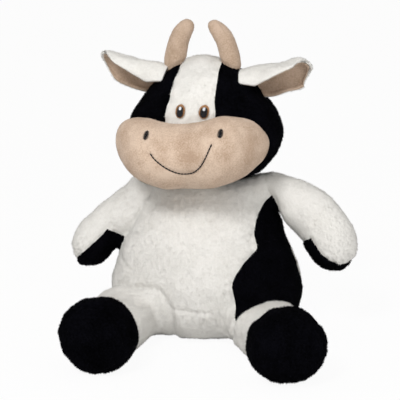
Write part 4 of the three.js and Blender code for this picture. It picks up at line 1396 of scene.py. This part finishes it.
def ear_sheet(side, shallow, deep, trim, end_trim, lip):
    """A soft sheet between two depths, rolled into a cup. The trims are how far its edges stand back."""
    rows = np.array(EAR_SHARES) * (EAR_LENGTH, EAR_WIDTH / 2, TURN_SCALE, TURN_SCALE)
    rows = curve([2 * rows[0] - rows[1], *rows, 2 * rows[-1] - rows[-2]], EAR_ROWS)
    far, radius, low, high = (rows[:, k][:, None] for k in range(4))
    far = far * (1 - end_trim / EAR_LENGTH)
    edge_trim = trim / radius / math.pi
    low = low / TURN_SCALE - edge_trim
    high = high / TURN_SCALE - edge_trim
    across = np.linspace(0, 1, EAR_COLUMNS)[None, :]
    along = np.linspace(0, 1, EAR_ROWS)[:, None]
    off_middle = 2 * across - 1
    turn = math.pi * (-low + (low + high) * across)
    far = far - EAR_CORNER * (0.9 + 0.5 * off_middle) * np.abs(off_middle) ** 3 * along**5
    curl_radius = (EAR_LENGTH - EAR_CURL_START) / EAR_CURLS[side]
    curl = np.maximum(far - EAR_CURL_START, 0) / curl_radius
    edge = np.minimum(across, 1 - across) * (low + high) * math.pi * radius
    rim = np.minimum(edge, (1 - along) * EAR_LENGTH)
    round_off = np.sqrt(np.clip(1 - (1 - np.minimum(rim / EAR_RIM, 1)) ** 2, 0, 1))
    middle, half = (shallow + deep) / 2, (deep - shallow) / 2
    half = half - crease(rim - EAR_LIP_PLACE, lip, EAR_LIP_WIDTH)
    origin, matrix = ear_place(side)

    def layer(sense):
        depth = middle + sense * half * round_off
        inward = radius - (radius - depth) * np.cos(turn)
        reach = np.minimum(far, EAR_CURL_START) + (curl_radius - inward) * np.sin(curl)
        fall = inward * np.cos(curl) + curl_radius * (1 - np.cos(curl))
        places = np.stack([side * reach, EAR_SEAT - fall, (radius - depth) * np.sin(turn)], axis=2)
        flat = places.reshape(-1, 3)
        away = unit(np.stack([np.zeros(turn.size), np.cos(turn).ravel(), np.sin(turn).ravel()], axis=1))
        bumps = 0.7 * waves(flat, 26, 121 + side) + 0.15 * waves(flat, 11, 122 + side)
        return (flat + away * bumps[:, None]) @ matrix.T + origin

    return sheet_mesh(layer(-1), layer(1), EAR_COLUMNS)


def add_ear(side):
    name = SIDES[side] + "_ear"
    fall = side * ear_place(side)[1] @ X_AXIS
    bend = [pivot(name + "_flap") + side * reach * X_AXIS for reach in EAR_BEND]
    for i, (part, layer, material, tufts) in enumerate(EAR_LAYERS):
        bm = ear_sheet(side, *layer)
        cut_along(bm, lambda p: head.outside(p) + EAR_ROOT)
        marked(bm, [(name, lambda p: head.outside(p) > -EAR_ROOT)])
        node = name + "_" + part
        names = node + "_skin", node + "_pile"
        add_cover(names, bm, 1, material, tufts, 131 + i, fall, name, [node], 0.3, bend, "head")
        bm.free()


# Embroidery: threads laid over a form, as tubes.
THREAD_SIDES = 6


def threads(name, lines, radius, material, nodes, owner="head"):
    """One mesh of all the threads. A line is its points and the directions that they face."""
    turns = np.linspace(0, 2 * math.pi, THREAD_SIDES, endpoint=False)
    places, faces = [], []
    for points, facing in lines:
        along = unit(np.gradient(points, axis=0))
        side = unit(np.cross(along, facing))
        up = np.cross(side, along)
        count = len(points)
        ends = np.linspace(0.12, math.pi - 0.12, count)
        swell = radius * np.sqrt(np.clip(np.sin(ends), 0.1, 1))[:, None, None]
        ring = side[:, None] * np.cos(turns)[None, :, None] + up[:, None] * np.sin(turns)[None, :, None]
        start = sum(len(each) for each in places)
        places.append((points[:, None] + ring * swell).reshape(-1, 3))
        rings = start + np.arange(count * THREAD_SIDES).reshape(count, THREAD_SIDES)
        for low, high in zip(rings, rings[1:]):
            for j in range(THREAD_SIDES):
                k = (j + 1) % THREAD_SIDES
                faces.append((low[j], low[k], high[k], high[j]))
        faces += [tuple(rings[0][::-1]), tuple(rings[-1])]
    mesh = bpy.data.meshes.new(name)
    mesh.from_pydata([tuple(place) for place in np.concatenate(places) * MM], [], faces)
    mesh.shade_smooth()
    dressed((add_object(name, mesh, material),), owner, nodes)


def laid(tree, ends, lift, count=8, way=Y_AXIS):
    """A thread where lines that run one way from between two places meet a form, lift above it."""
    start, end = ends
    starts = [Vector(start + (end - start) * t) for t in np.linspace(0, 1, count)]
    found = [tree.ray_cast(place, Vector(way))[:2] for place in starts]
    places, normals = (np.array([tuple(each[k]) for each in found]) for k in range(2))
    return places + normals * lift, normals


def before(x, z):
    """A place in front of the cow, from its place in the front view."""
    return np.array([x, -FRONT_REACH, z])


def satin(tree, middle, width, height, lean, lift, pitch, seed):
    """Threads side by side across an ellipse."""
    rng = np.random.default_rng(seed)
    angle = math.radians(lean)
    lines = []
    for level in np.arange(-height / 2 + pitch / 2, height / 2, pitch):
        half = width / 2 * (1 - abs(2 * level / height) ** 2.6) ** 0.4 + rng.uniform(-0.1, 0.1)
        ends = []
        for end in (-half, half):
            x = end * math.cos(angle) + level * math.sin(angle)
            z = -end * math.sin(angle) + level * math.cos(angle)
            ends.append(before(middle[0] + x, middle[1] + z))
        lines.append(laid(tree, ends, lift))
    return lines


def spokes(tree, middle, width, height, inner, lift, count, seed):
    """Threads that run outwards round an ellipse."""
    rng = np.random.default_rng(seed)
    lines = []
    for turn in np.linspace(0, 2 * math.pi, count, endpoint=False):
        way = np.array([math.cos(turn) * width / 2, math.sin(turn) * height / 2])
        near, far = (middle + way * share for share in (inner, 1 + rng.uniform(-0.03, 0.03)))
        lines.append(laid(tree, (before(*near), before(*far)), lift, 5))
    return lines


# What lies over each iris: its rise, width and height in shares of the eye, its lift, the pitch and
# radius of its threads, its material and its seed.
EYE_SHARES = [
    ("pupil", -0.06, 0.7, 0.72, 0.45, 0.42, 0.3, GREY_THREAD, 153),
    ("glint", 0.17, 0.28, 0.24, 0.85, 0.42, 0.28, WHITE_THREAD, 155),
]
IRIS_THREADS = 76
IRIS_RADIUS = 0.27
IRIS_HOLE_SHARE = 0.5


def add_face(head_tree, muzzle_tree):
    for side, label in SIDES.items():
        middle = np.array([side * EYE_SPACING / 2, NECK[2] + EYE_RISE])
        size = EYE_WIDTH, EYE_HEIGHT
        iris = spokes(head_tree, middle, *size, IRIS_HOLE_SHARE, PILE_LIFT, IRIS_THREADS, 151)
        threads(label + "_iris", iris, IRIS_RADIUS, AMBER_THREAD, [label + "_eye_iris"])
        for part, rise, wide, high, lift, pitch, radius, material, seed in EYE_SHARES:
            spot = middle + (0, EYE_HEIGHT * rise)
            size = EYE_WIDTH * wide, EYE_HEIGHT * high
            lines = satin(head_tree, spot, *size, 0, PILE_LIFT + lift, pitch, seed)
            threads(f"{label}_{part}", lines, radius, material, [f"{label}_eye_{part}"])
        spot = muzzle_spot(side * NOSTRIL_SPACING / 2 + NOSTRIL_ASIDE, NOSTRIL_RISE)
        size = NOSTRIL_WIDTH, NOSTRIL_HEIGHT
        lines = satin(muzzle_tree, spot, *size, NOSTRIL_LEAN, NOSTRIL_LIFT, THREAD_PITCH, 157)
        threads(label + "_nostril", lines, THREAD_RADIUS, BLACK_THREAD, ["nostril_" + label])
    path = [before(*place) for place in smile_points(SMILE_STITCHES + 1)]
    lines = [laid(muzzle_tree, ends, SMILE_LIFT, 5) for ends in zip(path, path[1:])]
    threads("smile_thread", lines, SMILE_RADIUS, BLACK_THREAD, ["smile_stitch"])


# Tail and its tuft: shares of length backwards and downwards, and of thickness.
TAIL_SHARES = [
    (-0.03, 0, 0),
    (0, 0, 1.0),
    (0.18, 0.04, 1.0),
    (0.36, 0.14, 0.95),
    (0.54, 0.24, 0.92),
    (0.56, 0.245, 0),
]
TUFT_SHARES = [
    (0.565, 0.25, 0),
    (0.58, 0.25, 0.72),
    (0.68, 0.27, 0.96),
    (0.8, 0.28, 1.0),
    (0.92, 0.28, 0.72),
    (1, 0.28, 0),
]


def add_tail():
    place = pivot("tail_swing"), np.eye(3)
    parts = (
        ("tail_sleeve", TAIL_SHARES, TAIL_THICKNESS, WHITE, TAIL_PILE),
        ("tail_tuft", TUFT_SHARES, TUFT_THICKNESS, BLACK, TUFT_PILE),
    )
    for name, shares, thickness, material, tufts in parts:
        rows = [
            [0, out * TAIL_LENGTH, -down * TAIL_LENGTH, each * thickness / 2, each * thickness / 2]
            for out, down, each in shares
        ]
        up = np.cross(unit(np.array([0, 1, -0.35])), X_AXIS)
        bm = Form(rows, TAIL_GRID, place=place, across=X_AXIS, up=up).mesh()
        displaced(bm, lambda p: relief(p, 161, TAIL_LUMPS))
        flattened(bm)
        marked(bm, [(name, lambda p: torso.outside(p) > -TAIL_ROOT)])
        names = name + "_skin", name + "_pile"
        add_cover(names, bm, 1, material, tufts, 163, (0, 1.6, -0.3), "tail", [name], 0.7)
        bm.free()


# Zip: woven tapes behind the slot, and sewing beside it. Its teeth, slider and pull are the solids' own.
def back_at(height):
    share = height / TORSO_HEIGHT
    highs, _, deeps = zip(*TORSO_SHARES)
    deep = np.interp(share, highs, deeps)
    return deep * TORSO_DEPTH / 2 - BELLY_FORWARD * math.sin(math.pi * share)


ZIP_LOW = np.array([0, back_at(ZIP_RISE), ZIP_RISE])
ZIP_HIGH = np.array([0, back_at(ZIP_RISE + ZIP_LENGTH), ZIP_RISE + ZIP_LENGTH])
ZIP_UP = unit(ZIP_HIGH - ZIP_LOW)
ZIP_OUT = np.cross(X_AXIS, ZIP_UP) * -1


def slot_distance(points):
    """How far points of the back lie outside the zip's slot; negative inside."""
    run = (points - ZIP_LOW) @ ZIP_UP
    beyond = np.maximum(-run, run - ZIP_LENGTH)
    aside = np.abs(points[:, 0]) - ZIP_SLOT_WIDTH / 2
    outside = np.hypot(np.maximum(beyond, 0), np.maximum(aside, 0))
    found = np.where((beyond < 0) & (aside < 0), np.maximum(beyond, aside), outside)
    return np.where(points[:, 1] > SIDE_SEAM_BACK, found, FAR_AWAY)


def zip_place(x, out, run):
    return ZIP_LOW + x * X_AXIS + out * ZIP_OUT + run * ZIP_UP


# The zip's tapes and the stitches beside them.
TAPE_COLUMNS = 24
TAPE_ROWS = 160
TAPE_GAP = 0.3
WEAVE_HEIGHT = 0.12
ZIP_STITCH_LENGTH = 2.2
ZIP_STITCH_PITCH = 3.1
ZIP_STITCH_START = 1.5
ZIP_STITCH_END = 2
ZIP_STITCH_ASIDE = 2.6
ZIP_STITCH_LIFT = 0.9
BACK_REACH = 40


def add_zip(torso_tree):
    inner_edge = ZIP_TEETH_WIDTH / 2
    columns = np.linspace(inner_edge + TAPE_GAP, inner_edge + ZIP_TAPE_WIDTH, TAPE_COLUMNS)
    runs = np.linspace(0, ZIP_LENGTH, TAPE_ROWS)
    for side, label in SIDES.items():
        layers = [
            [
                zip_place(-side * x, depth, run)
                + ZIP_OUT * WEAVE_HEIGHT * math.sin(i * math.pi / 2 + j * math.pi)
                for i, run in enumerate(runs)
                for j, x in enumerate(columns)
            ]
            for depth in (ZIP_TAPE_OUT, ZIP_TAPE_OUT - ZIP_TAPE_WALL)
        ]
        bm = sheet_mesh(*layers, TAPE_COLUMNS)
        tape = panel(f"zip_tape_{label}_weave", bm, 0, ZIP_TAPE)
        dressed((tape,), "torso", ["zip_tape_" + label])
        bm.free()
    lines = []
    for side in (-1, 1):
        aside = side * (ZIP_SLOT_WIDTH / 2 + ZIP_STITCH_ASIDE)
        for run in np.arange(ZIP_STITCH_START, ZIP_LENGTH - ZIP_STITCH_END, ZIP_STITCH_PITCH):
            ends = [zip_place(aside, BACK_REACH, run + step) for step in (0, ZIP_STITCH_LENGTH)]
            lines.append(laid(torso_tree, ends, ZIP_STITCH_LIFT, 5, -ZIP_OUT))
    threads("zip_sewing", lines, THREAD_RADIUS, WHITE_THREAD, [], "torso")
    for name in ("zip_teeth", "zip_slider", "zip_pull"):
        for place in frame["nodes"][name].material_slots:
            place.material = ZIP_PLASTIC


torso_mesh = add_body()
head_mesh = add_head()
muzzle_mesh = add_muzzle()
for side in SIDES:
    add_horn(side)
    add_ear(side)
add_neck()
add_face(BVHTree.FromBMesh(head_mesh), BVHTree.FromBMesh(muzzle_mesh))
add_tail()
add_zip(BVHTree.FromBMesh(torso_mesh))


# Camera, at the photo's angle and distance.
TARGET = Vector((-8, 0, 127)) * MM
CAMERA_AZIMUTH = 14
CAMERA_ELEVATION = 13
CAMERA_DISTANCE = 1500
LENS = 135
FLOOR_REACH = 4000
def add_camera():
    camera = bpy.data.objects.new("camera", bpy.data.cameras.new("camera"))
    bpy.context.scene.collection.objects.link(camera)
    azimuth, elevation = math.radians(CAMERA_AZIMUTH), math.radians(CAMERA_ELEVATION)
    level = math.cos(elevation)
    back = Vector((math.sin(azimuth) * level, -math.cos(azimuth) * level, math.sin(elevation)))
    camera.location = TARGET + back * CAMERA_DISTANCE * MM
    camera.rotation_euler = (-back).to_track_quat("-Z", "Y").to_euler()
    camera.data.lens = LENS
    camera.data.sensor_width = 36
    bpy.context.scene.camera = camera


def add_light(name, place, size, power):
    lamp = bpy.data.lights.new(name, "AREA")
    lamp.shape = "DISK"
    lamp.size = size * MM
    lamp.energy = power
    made = bpy.data.objects.new(name, lamp)
    bpy.context.scene.collection.objects.link(made)
    made.location = Vector(place) * MM
    made.rotation_euler = (TARGET - made.location).to_track_quat("-Z", "Y").to_euler()


def seen_directly(tree):
    """1 for a ray from the camera, a reflection or a refraction, and 0 for one that lights things."""
    path = add_node(tree, "LightPath")
    first, second = (add_node(tree, "Math", operation="MAXIMUM") for _ in range(2))
    wire(
        tree,
        (path, "Is Camera Ray", first, 0),
        (path, "Is Glossy Ray", first, 1),
        (first, 0, second, 0),
        (path, "Is Transmission Ray", second, 1),
    )
    return second


def add_world(ambient):
    world = bpy.data.worlds.new("studio")
    bpy.context.scene.world = world
    world.use_nodes = True
    tree = world.node_tree
    light = tree.nodes["Background"]
    set_inputs(light, {"Color": (1, 0.985, 0.96, 1), "Strength": ambient})
    shown = add_node(tree, "Background", {"Color": (1, 1, 1, 1), "Strength": 1})
    mix = add_node(tree, "MixShader")
    wire(
        tree,
        (seen_directly(tree), 0, mix, "Fac"),
        (light, 0, mix, 1),
        (shown, 0, mix, 2),
        (mix, 0, tree.nodes["World Output"], "Surface"),
    )


def add_floor(glow):
    """A pale floor that looks nearly white to the camera and keeps the toy's shadow."""
    size = FLOOR_REACH * MM
    mesh = bpy.data.meshes.new("floor")
    corners = [(-size, -size, 0), (size, -size, 0), (size, size, 0), (-size, size, 0)]
    mesh.from_pydata(corners, [], [(0, 1, 2, 3)])
    material = bpy.data.materials.new("floor")
    material.use_nodes = True
    tree = material.node_tree
    shader = tree.nodes["Principled BSDF"]
    set_inputs(shader, {"Base Color": (0.9, 0.9, 0.9, 1), "Roughness": 0.9})
    bright = add_node(tree, "Emission")
    part = add_node(tree, "Math", {1: glow}, operation="MULTIPLY")
    mix = add_node(tree, "MixShader")
    wire(
        tree,
        (seen_directly(tree), 0, part, 0),
        (part, 0, mix, "Fac"),
        (shader, 0, mix, 1),
        (bright, 0, mix, 2),
        (mix, 0, tree.nodes["Material Output"], "Surface"),
    )
    add_object("floor", mesh, material)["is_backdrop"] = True


add_camera()
add_world(0.54)
add_light("key", (-200, -1380, 1330), 480, 14.6)
add_light("fill", (1300, -1000, 500), 900, 4)
add_floor(0.94)
bpy.context.scene.view_settings.view_transform = "Standard"

boxes = {"cad": cad_box, "visual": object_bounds()}
{name: [list(corner) for corner in box] for name, box in boxes.items()}
